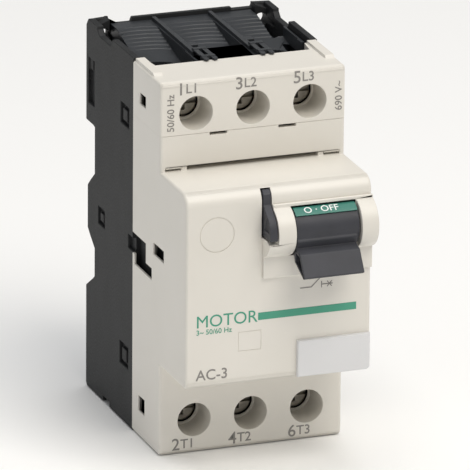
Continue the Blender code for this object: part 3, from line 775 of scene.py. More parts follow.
@dataclass
class FrontCover:
    """The cream cover: a wide face with the load terminals and a block in front that carries the lever."""

    edge_radius: float = 3.4
    foot_radius: float = 1.6
    corner: float = 0.75
    fine: float = 0.16

    def outline(self) -> list[Point]:
        """The side view, as (y, z)."""
        top = arc((MAIN_Y + self.edge_radius, BLOCK_TOP - self.edge_radius), self.edge_radius, 180, 90, 14)
        bend = self.foot_radius
        foot = arc((MAIN_Y + bend, BLOCK_BOTTOM + bend), bend, 270, 180, 8)
        return [
            (SPLIT_Y, 0.0), (FACE_Y + 0.6, 0.0), (FACE_Y, 0.6), (FACE_Y, BLOCK_BOTTOM), *foot, *top,
            (FACE_Y + 5.0, BLOCK_TOP), (FACE_Y + 5.0, BAND_BOTTOM), (FACE_Y, BAND_BOTTOM),
            (FACE_Y, SEAM_Z - SEAM_GAP), (SPLIT_Y, SEAM_Z - SEAM_GAP),
        ]  # fmt: skip

    def hollow(self) -> list[Point]:
        """The side view of the space inside."""
        return [
            (SPLIT_Y + 1.0, WALL), (FACE_Y + WALL, WALL), (FACE_Y + WALL, BLOCK_BOTTOM + WALL),
            (MAIN_Y + WALL, BLOCK_BOTTOM + WALL + 0.4), (MAIN_Y + WALL, BLOCK_TOP - 3.6),
            (MAIN_Y + 3.6, BLOCK_TOP - WALL), (FACE_Y + 6.6, BLOCK_TOP - WALL),
            (FACE_Y + 6.6, BAND_BOTTOM + WALL), (FACE_Y + WALL, BAND_BOTTOM + WALL),
            (FACE_Y + WALL, SEAM_Z + 1.0), (SPLIT_Y + 1.0, SEAM_Z + 1.0),
        ]  # fmt: skip

    def side_windows(self) -> list[Solid]:
        """Cutters for the latch windows and the stepped slot in each side wall."""
        cutters = []
        for low_y, high_y, low_z, high_z in (
            (-2.4, SPLIT_Y + 1.0, 43.3, 48.2),
            (-6.5, SPLIT_Y - 1.1, 40.8, 43.5),
            (-14.5, -7.5, 47.4, 50.2),
            (-1.9, 2.3, 6.2, 10.0),
        ):
            cutters += twin_blocks(HALF - WALL - 0.2, HALF + 1.0, (low_y, low_z), (high_y, high_z))
            cutters += thinned_wall(low_y, high_y, low_z, high_z)
        return cutters

    def marks(self) -> list[Solid]:
        """Cutters for the shallow knock-out ring and the small rectangle moulded into the front."""
        ring = [(MAIN_Y - 1.0, 3.94), (MAIN_Y + 0.14, 3.94), (MAIN_Y + 0.14, 4.16), (MAIN_Y - 1.0, 4.16)]
        cutters = [spun([*ring, ring[0]], Axis.Y, (-14.94, 0.0, 58.35), 72)]
        left, right, low, high = -9.73, -4.15, 29.9, 34.6
        for low_x, high_x, low_z, high_z in (
            (left, right, low, low + 0.18),
            (left, right, high - 0.18, high),
            (left, left + 0.18, low + 0.18, high - 0.18),
            (right - 0.18, right, low + 0.18, high - 0.18),
        ):
            cutters.append(block((low_x, MAIN_Y - 1.0, low_z), (high_x, MAIN_Y + 0.1, high_z)))
        return cutters

    def build(self) -> Solid:
        """Models the cover and dresses it."""
        body = slab(self.outline(), Axis.X, -HALF, HALF)
        inner = HALF - WALL
        cut(body, slab(self.hollow(), Axis.X, -inner, inner))
        TerminalWells(LOAD_Z).fit(body)
        cut(body, block((-19.3, 1.7, -1.0), (19.3, SPLIT_Y + 1.0, 2.5)))
        low, high = BLOCK_TOP - 0.2, BAND_BOTTOM + 0.2
        for near_x, far_x, near_y, foot in (
            (15.8, 17.2, FACE_Y + 0.05, low),
            (17.1, 21.1, FACE_Y + 0.1, BLOCK_TOP + 0.5),
            (21.0, HALF, FACE_Y, low),
        ):
            for side in (-1, 1):
                low_x, high_x = sorted((side * near_x, side * far_x))
                add(body, block((low_x, near_y, foot), (high_x, FACE_Y + 5.2, high)))
        cut(body, block((-1.6, MAIN_Y - 1.0, 51.4), (20.35, MAIN_Y + 3.0, 64.0)))
        slot = block((SLIDE_LEFT - 0.25, MAIN_Y - 1.0, 56.4), (SLIDE_RIGHT + 0.25, MAIN_Y + 5.0, 67.9))
        cut(body, slot)
        deep = block((-15.7, FACE_Y + 4.8, BLOCK_TOP + 0.1), (15.7, FACE_Y + 7.2, BAND_BOTTOM - 0.1))
        seam = twin_blocks(6.2, 10.4, (FACE_Y - 1.0, SEAM_Z - 0.7), (FACE_Y + 3.0, SEAM_Z + 1.0))
        cut(body, deep, *seam)
        cut(body, *self.marks())
        clean(body)
        below_seam = SEAM_Z - 0.1
        round_edges(
            body, self.corner, 5, lambda edge: on_side(edge) and min(v.co.z for v in edge.verts) < below_seam
        )
        cut(body, *self.side_windows())

        def leave(middle: Vector) -> bool:
            hidden = MAIN_Y + WALL - 0.3 < middle.y < FACE_Y - 0.5 and abs(middle.x) < HALF - WALL + 0.2
            seam = middle.z > SEAM_Z - 0.05 or middle.y > SPLIT_Y - 0.05
            mark = middle.y < MAIN_Y + 0.2 and middle.x < -3.9 and (middle.z < 40 or middle.x < -10)
            window = 40.5 < middle.z < 50.5 and middle.y > -14.8 or 6.0 < middle.z < 10.3 and middle.y > -2.2
            corner = abs(middle.x) > HALF - self.corner - 0.1 and not window
            covered = -2.0 < middle.x < 20.6 and 51.0 < middle.z < 66.5 and middle.y < FACE_Y - 1.0
            return hidden or seam or mark or corner or covered

        soften(body, self.fine, 2, leave)
        return finish_piece(
            body, "front_cover_moulding", Body.CASING, MOULDED_CREAM, ["front_cover"]
        )


@dataclass
class UpperTerminalCover:
    """The cream cover over the line terminals, with a low rail along each side."""

    corner: float = 0.6
    edge_radius: float = 0.95
    fine: float = 0.16

    def build(self) -> Solid:
        """Models the cover and dresses it."""
        front = arc((FACE_Y + self.edge_radius, FRONT_TOP - self.edge_radius), self.edge_radius, 180, 90, 8)
        outline = [(SPLIT_Y, SEAM_Z + SEAM_GAP), (FACE_Y, SEAM_Z + SEAM_GAP), *front, (SPLIT_Y, FRONT_TOP)]
        body = slab(outline, Axis.X, -HALF, HALF)
        inner = HALF - WALL
        hollow = [
            (SPLIT_Y + 1.0, SEAM_Z - 1.0), (FACE_Y + WALL, SEAM_Z - 1.0),
            (FACE_Y + WALL, FRONT_TOP - WALL), (SPLIT_Y + 1.0, FRONT_TOP - WALL),
        ]  # fmt: skip
        cut(body, slab(hollow, Axis.X, -inner, inner))
        TerminalWells(LINE_Z).fit(body)
        opening = [(-18.6, 1.7), (18.6, 1.7), (19.3, SPLIT_Y + 1.0), (-19.3, SPLIT_Y + 1.0)]
        cut(body, slab(opening, Axis.Z, FRONT_TOP - 3.0, FRONT_TOP + 2.0))
        clean(body)
        above_seam = SEAM_Z + 0.1
        round_edges(
            body, self.corner, 5, lambda edge: on_side(edge) and max(v.co.z for v in edge.verts) > above_seam
        )
        rail = [
            (FACE_Y + 5.0, FRONT_TOP - 0.5), (FACE_Y + 6.5, SIDE_TOP),
            (SPLIT_Y - 0.2, SIDE_TOP), (SPLIT_Y - 0.2, FRONT_TOP - 0.5),
        ]  # fmt: skip
        add(body, *mirrored(19.6, HALF - 0.5, lambda a, b: slab(rail, Axis.X, a, b)))
        windows = twin_blocks(HALF - WALL - 0.2, HALF + 1.0, (-2.0, 80.3), (2.1, 83.0))
        cut(body, *windows, *thinned_wall(-2.0, 2.1, 80.3, 83.0))

        def leave(middle: Vector) -> bool:
            seam = middle.z < SEAM_Z + 0.1 and middle.y > FACE_Y + 0.1 or middle.y > SPLIT_Y - 0.05
            rounded = abs(middle.x) > HALF - self.corner - 0.1
            corner = rounded and (middle.y < FACE_Y + 1.1 or middle.z > FRONT_TOP - 1.1)
            return seam or corner

        soften(body, self.fine, 2, leave)
        return finish_piece(
            body, "upper_terminal_moulding", Body.CASING, MOULDED_CREAM, ["upper_terminal_cover"]
        )


@dataclass
class RearHousing:
    """The black half of the casing, with the rail recess, side pockets and fixing lugs."""

    fine: float = 0.22

    def outline(self) -> list[Point]:
        """The side view, as (y, z)."""
        back = REAR_Y
        return [
            (SPLIT_Y, 0.0), (22.4, 0.0), (22.4, 1.3), (26.6, 1.3), (27.2, 0.0),
            (back - 0.7, 0.0), (back, 0.7), (back, 24.8), (back - 4.7, 27.8), (back - 6.0, 28.8),
            (back - 6.0, 35.4), (back - 2.9, 37.6), (back - 1.0, 39.2), (back - 1.0, 49.7),
            (back - 2.8, 51.3), (back - 6.0, 53.9), (back - 6.0, 64.9), (back - 5.0, 65.2),
            (back, 65.2), (back, 88.4), (back - 1.2, SIDE_TOP), (SPLIT_Y, SIDE_TOP),
        ]  # fmt: skip

    def hollow(self) -> list[Point]:
        """The side view of the space inside, open at the front, the top and the bottom."""
        return [
            (SPLIT_Y - 1.0, -1.0), (32.4, -1.0), (32.4, 22.5), (31.0, 26.5), (31.0, 66.4),
            (37.0, 68.4), (37.0, 95.0), (SPLIT_Y - 1.0, 95.0),
        ]  # fmt: skip

    def tongues(self, body: Solid) -> None:
        """Adds the tongues that slide in behind the cover and the walls between the poles."""
        inner = HALF - WALL
        tongue = twin_blocks(inner - 1.3, inner - 0.3, (-10.1, 3.0), (8.9, 86.0))
        add(body, *tongue)
        gap = twin_blocks(inner - 1.5, inner - 0.1, (-12.0, 66.2), (FACE_Y + 7.0, 71.2))
        cut(body, *gap)
        root = twin_blocks(inner - 1.3, inner + 0.5, (SPLIT_Y, 3.0), (8.9, 86.0))
        add(body, *root)
        walls = twin_blocks(6.25, 7.45, (10.0, 15.5), (31.6, 75.0))
        add(body, *walls)

    def pockets(self) -> list[Solid]:
        """Cutters for the side pockets, each a frame round a small raised tab."""
        cutters = []
        for near_y, far_y, low_z, high_z, tab in (
            (6.4, 9.6, 43.4, 46.7, False), (9.1, 15.0, 72.0, 77.0, True), (25.9, 30.4, 42.6, 46.8, True),
            (9.2, 15.2, 13.7, 19.0, True), (33.2, 37.4, 69.8, 80.8, False),
        ):  # fmt: skip
            for side in (-1, 1):
                low_x, high_x = sorted((side * (HALF - 0.9), side * (HALF + 1.0)))
                pocket = block((low_x, near_y, low_z), (high_x, far_y, high_z))
                if tab:
                    middle = (near_y + far_y) / 2
                    low_x, high_x = sorted((side * (HALF - 1.5), side * (HALF - 0.15)))
                    raised = block((low_x, middle - 1.3, low_z + 1.0), (high_x, far_y - 1.2, high_z - 1.2))
                    cut(pocket, raised)
                cutters.append(pocket)
        return cutters

    def build(self) -> Solid:
        """Models the housing and dresses it."""
        body = slab(self.outline(), Axis.X, -HALF, HALF)
        inner = HALF - WALL
        cut(body, slab(self.hollow(), Axis.X, -inner, inner))
        self.tongues(body)
        cut(body, *self.pockets())
        cut(body, block((-15.0, REAR_Y - 6.4, 64.2), (15.0, REAR_Y - 4.9, 66.7)))
        for low_x, high_x, low_z in ((-17.6, -11.8, 88.1), (-11.8, 12.6, 89.4), (12.6, 17.8, 88.8)):
            cut(body, block((low_x, 36.0, low_z), (high_x, 40.0, 92.0)))
        notch = [(21.0, 92.0), (21.0, 89.0), (22.2, 88.0), (29.8, 88.0), (31.2, 89.2), (31.2, 92.0)]
        cut(body, *mirrored(HALF - WALL - 0.5, HALF + 1.0, lambda a, b: slab(notch, Axis.X, a, b)))
        for side in (-1, 1):
            outer, near = side * (HALF - 0.4), side * 17.8
            lug = [(outer, 78.0), (outer, 88.3), (near, 90.0), (near, 78.0)]
            add(body, slab(lug, Axis.Y, 35.2, REAR_Y - 0.3))
        for side in (-1, 1):
            cut(body, bar(Axis.Y, (side * 19.3, 86.2), 30.0, 45.0, 1.6, 32))
        channel = block((-6.5, 34.0, -1.0), (6.5, 37.2, 34.0))
        mouth = block((-4.5, 37.0, -1.0), (4.5, 40.0, 34.0))
        cut(body, channel, mouth)
        add(body, block((-2.0, 33.0, 11.2), (2.0, 36.8, 12.0)))

        def leave(middle: Vector) -> bool:
            inside = abs(middle.x) < HALF - WALL + 0.1 and 2.0 < middle.z < 80.0 and middle.y < 32.0
            return inside or middle.y < SPLIT_Y + 0.05 or abs(middle.x) < 2.1 and 11.0 < middle.z < 12.2

        soften(body, self.fine, 2, leave)
        return finish_piece(
            body, "rear_housing_moulding", Body.CASING, GLASS_FILLED_NYLON, ["rear_housing"]
        )


@dataclass
class WireGuide:
    """The black funnels that lead the wires into the clamps, with the walls between them."""

    shaft: float = 5.75
    centre_y: float = 12.0
    cone_low: float = 84.6
    cone_high: float = 89.8
    cone_radius: float = 25.5
    rib_pitch: float = 1.55
    rib_height: float = 0.13
    fine: float = 0.08

    def cone_profile(self) -> list[Point]:
        """The funnel's section as (height, radius), with a fine rib at each step."""
        slope = (self.cone_high - self.cone_low) / (self.cone_radius - self.shaft)
        profile = [(self.cone_low, 0.0), (self.cone_low, self.shaft)]
        radius = self.shaft + 5.2
        while radius < self.cone_radius - 2.0:
            for across, lift in ((0.0, 0.0), (0.12, 1.0), (0.5, 1.0), (0.62, 0.0)):
                height = self.cone_low + (radius + across - self.shaft) * slope + lift * self.rib_height
                profile.append((height, radius + across))
            radius += self.rib_pitch
        return [*profile, (self.cone_high, self.cone_radius), (self.cone_high, 0.0)]

    def funnel(self, x: float) -> list[Solid]:
        """Cutters for one pole: the shaft and the shallow ribbed cone behind it."""
        back = arc((x, self.centre_y), self.shaft, 0, 180, 24)
        plan = [(x - self.shaft, 2.9), (x + self.shaft, 2.9), *back]
        shaft = slab(plan, Axis.Z, 70.0, 95.0)
        cone = spun(self.cone_profile(), Axis.Z, (x, self.centre_y, 0.0), 96)
        keep(cone, block((x - 6.05, self.centre_y, 80.0), (x + 6.05, 35.8, 95.0)))
        return [shaft, cone]

    def turned_over(self, cutter: Solid) -> Solid:
        """A cutter mirrored from the top to the bottom of the breaker."""
        cutter.scale = (1.0, 1.0, -1.0)
        cutter.location = (0.0, 0.0, MIRROR_Z)
        apply_place(cutter)
        bpy.ops.object.mode_set(mode="EDIT")
        face_outward()
        return cutter

    def fork(self, body: Solid, x: float) -> None:
        """Adds the two prongs that lie on the front edge and the blocks that hold them."""
        for prong in (-1.05, 1.05):
            middle = x + prong
            tip = [
                (middle - 0.6, 8.4), (middle - 0.6, 0.8), (middle - 0.35, 0.3),
                (middle + 0.35, 0.3), (middle + 0.6, 0.8), (middle + 0.6, 8.4),
            ]  # fmt: skip
            add(body, slab(tip, Axis.Z, FRONT_TOP + 0.25, FRONT_TOP + 0.62))
        add(body, block((x - 1.65, 2.4, 87.8), (x + 1.65, 3.4, FRONT_TOP + 0.8)))
        add(body, block((x - 1.65, 8.0, 86.5), (x + 1.65, 9.2, FRONT_TOP + 0.8)))

    def dressed(self, body: Solid, place: str) -> Solid:
        """Dresses a guide, with shading that keeps its fine ribs crisp."""
        name, node = f"{place}_wire_funnels", f"{place}_wire_guide"
        return finish_piece(body, name, Body.CASING, POLISHED_NYLON, [node], 5.0)

    def build_upper(self) -> Solid:
        """Models the guide over the line terminals and dresses it."""
        plan = [
            (-19.0, 2.1), (19.0, 2.1), (19.0, 9.3), (20.3, 9.3), (20.3, 34.7), (17.5, 34.7), (17.5, 36.7),
            (-17.5, 36.7), (-17.5, 34.7), (-20.3, 34.7), (-20.3, 9.3), (-19.0, 9.3),
        ]  # fmt: skip
        body = slab(plan, Axis.Z, 79.0, 88.5)
        for x in POLES:
            cut(body, *self.funnel(x))
        cut(body, *twin_blocks(17.2, 25.0, (22.0, 83.5), (40.0, 92.0)))
        cut(body, *twin_blocks(18.4, 25.0, (0.0, 70.0), (19.0, 85.3)))
        for x in POLES:
            cut(body, block((x - 5.75, 0.0, 70.0), (x + 5.75, 12.0, 85.3)))
            cut(body, block((x - 5.4, 19.6, 70.0), (x + 5.4, 35.4, 82.6)))
        for side in (-1, 1):
            wall = side * 6.85
            ridge = [(wall - 0.7, 8.0), (wall + 0.7, 8.0), (wall + 0.45, 36.0), (wall - 0.45, 36.0)]
            add(body, slab(ridge, Axis.Z, 86.0, 89.4))
            add(body, block((wall, 13.0, 87.6), (wall + 2.6, 15.4, 89.25)))
        for x in (-5.55, 8.15):
            self.fork(body, x)
        soften(body, self.fine, 2)
        split_across(body, 28.0, 33.2)
        return self.dressed(body, "upper")

    def build_lower(self) -> Solid:
        """Models the guide under the load terminals and dresses it."""
        plan = [
            (-19.0, 2.1), (19.0, 2.1), (19.0, 9.3), (20.3, 9.3),
            (20.3, 32.0), (-20.3, 32.0), (-20.3, 9.3), (-19.0, 9.3),
        ]  # fmt: skip
        body = slab(plan, Axis.Z, 0.4, 9.8)
        for x in POLES:
            cut(body, *[self.turned_over(cutter) for cutter in self.funnel(x)])
        rim = MIRROR_Z - 85.3
        cut(body, *twin_blocks(18.4, 25.0, (0.0, rim), (19.0, 20.0)))
        for x in POLES:
            cut(body, block((x - 5.75, 0.0, rim), (x + 5.75, 12.0, 20.0)))
            cut(body, block((x - 5.4, 19.6, MIRROR_Z - 82.6), (x + 5.4, 30.6, 20.0)))
        soften(body, self.fine, 2)
        return self.dressed(body, "lower")


@dataclass
class LeverBezel:
    """The raised plate round the lever, with a round cheek on each side."""

    front: float = MAIN_Y - 0.75
    back: float = MAIN_Y + 0.02
    cheek: float = 5.9
    fine: float = 0.2

    def build(self) -> Solid:
        """Models the bezel and dresses it."""
        body = block((-4.0, self.front, 46.8), (HALF, self.back, 64.2))
        cut(body, block((2.4, self.front - 1.0, 51.9), (18.15, self.back + 1.0, 63.4)))
        rear = MAIN_Y + 4.2
        for low_x, high_x, low_deep, high_deep in ((-4.0, 2.4, -1.3, 2.4), (18.2, HALF, 18.2, 20.1)):
            cheek = bar(Axis.X, (LEVER_Y, LEVER_Z), low_x, high_x, self.cheek, 96)
            keep(cheek, block((-30.0, -60.0, 0.0), (30.0, self.back, 99.0)))
            add(body, cheek)
            add(body, block((low_deep, self.back - 0.2, 52.0), (high_deep, rear, 63.4)))
        step = [(-50.0, 70.0), (-50.0, 55.9), (-33.4, 55.9), (-32.2, 56.4), (self.back + 2.0, 56.4),
                (self.back + 2.0, 70.0)]  # fmt: skip
        cut(body, slab(step, Axis.X, -5.0, SLIDE_RIGHT + 0.25))
        for low_x, high_x in ((0.2, 3.0), (17.5, 19.4)):
            cut(body, bar(Axis.X, (LEVER_Y, LEVER_Z), low_x, high_x, SHAFT_BORE, 32))
        soften(body, self.fine, 3)
        return finish_piece(
            body, "lever_bezel_moulding", Body.CASING, MOULDED_CREAM, ["lever_bezel"]
        )


@dataclass
class MarkerPlate:
    """The white plate that takes the circuit's label."""

    left: float = 4.4
    right: float = 21.9
    low: float = 22.4
    high: float = 31.1
    thick: float = 1.0
    rim: float = 0.4

    def build(self) -> Solid:
        """Models the plate and dresses it."""
        front, back = MAIN_Y - 1.1, MAIN_Y - 1.1 + self.thick + 0.12
        corner = arc((self.right - 1.0, self.low + 1.0), 1.0, 270, 360, 10)
        outline = [(self.left, self.low), *corner, (self.right, self.high), (self.left, self.high)]
        body = slab(outline, Axis.Y, front, back)
        round_edges(body, self.rim, 5, lambda edge: all(abs(v.co.y - front) < 0.001 for v in edge.verts))
        return finish_piece(body, "white_marker", Body.CASING, GLOSSY_WHITE_ABS, ["marker_plate"])


# Lever and padlock slide


@dataclass
class ToggleLever:
    """The grey drum with its grip, and the green label wrapped on it."""

    drum: float = 5.1
    hub: float = 3.3
    left: float = 2.7
    right: float = 17.9
    grip_right: float = 17.2
    cam_start: float = 3.45
    travel: float = 2.4
    swing: float = math.radians(80)
    fine: float = 0.22

    def section(self) -> list[Point]:
        """The drum's section about the shaft, as (y, z)."""
        centre = (LEVER_Y, LEVER_Z)
        return arc(centre, self.drum, 105, 320, 56) + arc(centre, self.hub, 320, 465, 24)

    def grip(self) -> Solid:
        """The grip, with its left end hollowed a little."""
        outline = [
            (LEVER_Y - 1.0, LEVER_Z - 1.0), (MAIN_Y - 3.0, LEVER_Z + 0.4), (MAIN_Y - 4.5, LEVER_Z - 1.6),
            (MAIN_Y - 3.7, LEVER_Z - 3.4), (MAIN_Y - 6.1, LEVER_Z - 4.2), (MAIN_Y - 9.2, LEVER_Z - 8.8),
            (MAIN_Y - 8.4, LEVER_Z - 9.3), (MAIN_Y - 2.7, LEVER_Z - 6.9), (MAIN_Y - 1.7, LEVER_Z - 4.4),
        ]  # fmt: skip
        made = slab(outline, Axis.X, self.left, self.grip_right)
        hollow = [
            (MAIN_Y - 5.6, LEVER_Z - 4.9), (MAIN_Y - 8.2, LEVER_Z - 8.6),
            (MAIN_Y - 3.3, LEVER_Z - 6.6), (MAIN_Y - 3.2, LEVER_Z - 4.6),
        ]  # fmt: skip
        return cut(made, slab(hollow, Axis.X, self.left - 1.0, self.left + 1.3))

    def cam(self) -> list[Point]:
        """A cam whose flat follower moves in step with the turn, as the involute of a circle does."""
        lift = self.travel / self.swing
        points = []
        for i in range(25):
            turn = self.swing * i / 24
            reach = self.cam_start + lift * turn
            across = reach * math.cos(turn) - lift * math.sin(turn)
            up = reach * math.sin(turn) + lift * math.cos(turn)
            points.append((LEVER_Y + across, LEVER_Z + up))
        return [*points, (LEVER_Y - 1.5, LEVER_Z + 1.0), (LEVER_Y + 1.0, LEVER_Z - 2.5)]

    def build(self) -> Solid:
        """Models the lever and dresses it."""
        body = slab(self.section(), Axis.X, self.left, self.right)
        add(body, self.grip(), slab(self.cam(), Axis.X, 9.0, 12.0))
        cut(body, bar(Axis.X, (LEVER_Y, LEVER_Z), 0.0, 20.0, SHAFT_BORE, 32))
        soften(body, self.fine, 3, degrees=20.0)
        return finish_piece(
            body, "toggle_lever_moulding", Body.LEVER, SATIN_GREY_NYLON, ["toggle_lever"], 30.0
        )

    def build_label(self) -> Solid:
        """Models the green label on the drum and dresses it."""
        centre, inner = (LEVER_Y, LEVER_Z), self.drum + 0.1
        outline = arc(centre, inner + 0.3, 105, 133, 14) + arc(centre, inner, 133, 105, 14)
        label = slab(outline, Axis.X, self.left + 0.2, self.right - 0.2)
        round_edges(label, 0.06, 2, is_sharp)
        return finish_piece(
            label, "green_position_label", Body.LEVER, GREEN_FOIL, ["position_label"]
        )


@dataclass
class PadlockSlide:
    """The flat bar beside the lever that is pulled out to take a padlock."""

    nose: float = 5.8
    fine: float = 0.18

    def build(self) -> Solid:
        """Models the slide and dresses it."""
        front = MAIN_Y - 0.1
        outline = [
            (MAIN_Y + 14.0, 56.9), (MAIN_Y + 14.0, 66.2), (MAIN_Y + 1.4, 66.2), (MAIN_Y + 1.4, 67.5),
            (MAIN_Y + 0.6, 67.3), (front, 66.6), (front, 64.2),
            *arc((LEVER_Y, LEVER_Z), self.nose, 117, 188, 24),
        ]  # fmt: skip
        body = slab(outline, Axis.X, SLIDE_LEFT, SLIDE_RIGHT)
        cut(body, bar(Axis.X, (MAIN_Y + 4.6, 62.2), -8.0, 2.0, 2.2, 40))
        dish = [(-33.6, 58.6), (-32.9, 61.0), (-31.6, 61.6), (-30.4, 58.6)]
        cut(body, slab(dish, Axis.X, SLIDE_LEFT - 1.0, SLIDE_LEFT + 0.35))
        soften(body, self.fine, 3)
        return finish_piece(
            body, "padlock_slide_bar", Body.SLIDE, SATIN_GREY_NYLON, ["padlock_slide"]
        )


# Terminals


@dataclass
class TerminalScrews:
    """The M4 screws with their slotted cross heads."""

    head_y: float = -3.0
    head_radius: float = 3.5
    head_depth: float = 2.2
    shank: float = 1.9
    end_y: float = 6.6
    fine: float = 0.1

    def model(self) -> Solid:
        """One screw on the middle line terminal."""
        head, back, rim = self.head_y, self.head_y + self.head_depth, self.head_radius
        profile = [
            (head, 0.0), (head, rim - 0.55), (head + 0.07, rim - 0.34), (head + 0.25, rim - 0.12),
            (head + 0.5, rim), (back, rim), (back, self.shank),
        ]  # fmt: skip
        along = back + 0.3
        while along < self.end_y - 1.2:
            profile += [(along, self.shank), (along + 0.3, self.shank - 0.28), (along + 0.6, self.shank)]
            along += 0.7
        profile += [(self.end_y - 0.5, self.shank), (self.end_y, self.shank - 0.5), (self.end_y, 0.0)]
        body = spun(profile, Axis.Y, (0.0, 0.0, LINE_Z), 48)
        cut(body, block((-5.0, head - 1.0, LINE_Z - 0.5), (5.0, head + 1.0, LINE_Z + 0.5)))
        cut(body, block((-0.5, head - 1.0, LINE_Z - 2.0), (0.5, head + 1.3, LINE_Z + 2.0)))
        soften(body, self.fine, 2, lambda middle: middle.y > head + 0.6)
        return body

    def build(self) -> None:
        """Models one screw and copies it to each terminal."""
        at_each_terminal(self.model(), "terminal_screw", "screw")


@dataclass
class WireClamps:
    """The steel cages that the screws draw forward onto the wires."""

    front: float = 2.7
    back: float = 14.4
    wall: float = 1.6
    half_width: float = 4.9
    half_height: float = 3.2
    corner: float = 0.9
    fine: float = 0.15

    def model(self) -> Solid:
        """One cage on the middle line terminal."""
        wide, tall = self.half_width, self.half_height
        body = block((-wide, self.front, LINE_Z - tall), (wide, self.back, LINE_Z + tall))

        def upright(edge: Edge) -> bool:
            first, second = (v.co for v in edge.verts)
            at_end = min(abs(first.y - self.front), abs(first.y - self.back)) < 0.01
            return at_end and abs(first.z - second.z) > 1.0

        round_edges(body, self.corner, 5, upright)
        inner, mouth, seat = wide - 1.2, self.front + self.wall, self.back - self.wall
        window = block((-inner, mouth, LINE_Z - 9.0), (inner, seat, LINE_Z + 9.0))
        cut(body, window, bar(Axis.Y, (0.0, LINE_Z), 0.0, 5.0, 2.2, 40))
        groove = 0.2
        for z in (-1.6, 0.0, 1.6):
            low, high = (seat - groove, LINE_Z + z - groove), (seat + groove, LINE_Z + z + groove)
            cut(body, block((-inner, *low), (inner, *high)))
        soften(body, self.fine, 2)
        return body

    def build(self) -> None:
        """Models one cage and copies it to each terminal."""
        at_each_terminal(self.model(), "wire_cage", "clamp")


def at_each_terminal(pattern: Solid, piece: str, part: str) -> None:
    """Copies a terminal part to all six terminals, dresses the copies and removes the pattern.

    Args:
        pattern: The part on the middle line terminal, in millimetres.
        piece: What the new pieces are called.
        part: What the bodies and their CAD nodes are called.
    """
    for kind, drop in (("line", 0.0), ("load", LOAD_Z - LINE_Z)):
        for number, x in enumerate(POLES, start=1):
            node = f"{kind}_{part}_{number}"
            made = copied(pattern, (x, 0.0, drop))
            finish_piece(made, f"{kind}_{piece}_{number}", node, ZINC_PLATED_STEEL, [node])
    bpy.data.objects.remove(pattern, do_unlink=True)


# Rail fastening


@dataclass
class RailLatch:
    """The latch at the back that holds the rail's lower edge, and its spring."""

    turns: int = 6
    coil: float = 1.0
    wire: float = 0.22
    low: float = 12.1
    high: float = 20.9
    drop: float = 5.0
    centre_y: float = 35.6
    fine: float = 0.2

    def build(self) -> Solid:
        """Models the latch and dresses it."""
        side = [(34.3, 0.6), (36.9, 0.6), (36.9, 30.6), (35.4, 32.2), (34.3, 32.2)]
        body = slab(side, Axis.X, -6.2, 6.2)
        add(body, block((-4.2, 36.0, 0.6), (4.2, 38.4, 5.0)))
        spring_room = block((-2.6, 33.0, 10.9), (2.6, 38.0, 21.0))
        tool_slot = block((-2.0, 33.0, 1.8), (2.0, 40.0, 3.2))
        cut(body, spring_room, tool_slot)
        soften(body, self.fine, 2)
        return finish_piece(
            body, "rail_latch_slide", Body.LATCH, GLASS_FILLED_NYLON, ["rail_latch"]
        )

    def build_spring(self) -> Solid:
        """Winds the spring with a screw modifier and closes its ends."""
        start_fresh()
        bpy.ops.mesh.primitive_circle_add(
            vertices=10, radius=self.wire, location=(self.coil, 0.0, 0.0), rotation=(math.pi / 2, 0.0, 0.0)
        )
        made = bpy.context.active_object
        apply_place(made)
        bpy.ops.object.modifier_add(type="SCREW")
        wind = made.modifiers[-1]
        wind.axis = "Z"
        wind.iterations = self.turns
        wind.screw_offset = (self.high - self.low - 2 * self.wire) / self.turns
        wind.steps = wind.render_steps = 28
        wind.use_merge_vertices = False
        bpy.ops.object.modifier_apply(modifier=wind.name)
        for end in range(2):
            select_edges(made, lambda edge: len(edge.link_faces) == 1)
            shape = bmesh.from_edit_mesh(made.data)
            open_edges = [edge for edge in shape.edges if edge.select]
            lowest = min(v.co.z for edge in open_edges for v in edge.verts)
            for edge in open_edges:
                if min(v.co.z for v in edge.verts) > lowest + 2 * self.wire + 0.01:
                    edge.select = False
            bmesh.update_edit_mesh(made.data)
            bpy.ops.mesh.edge_face_add()
            bpy.ops.object.mode_set(mode="OBJECT")
            LOG.info("spring end %d closed", end + 1)
        select_only(made)
        bpy.ops.object.mode_set(mode="EDIT")
        face_outward()
        made.location = (0.0, self.centre_y, self.low + self.wire)
        apply_place(made)
        finish_piece(
            made, "latch_return_spring", Body.CASING, SPRING_STEEL, ["rail_latch_spring"], 60.0
        )
        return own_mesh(made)


# Prints


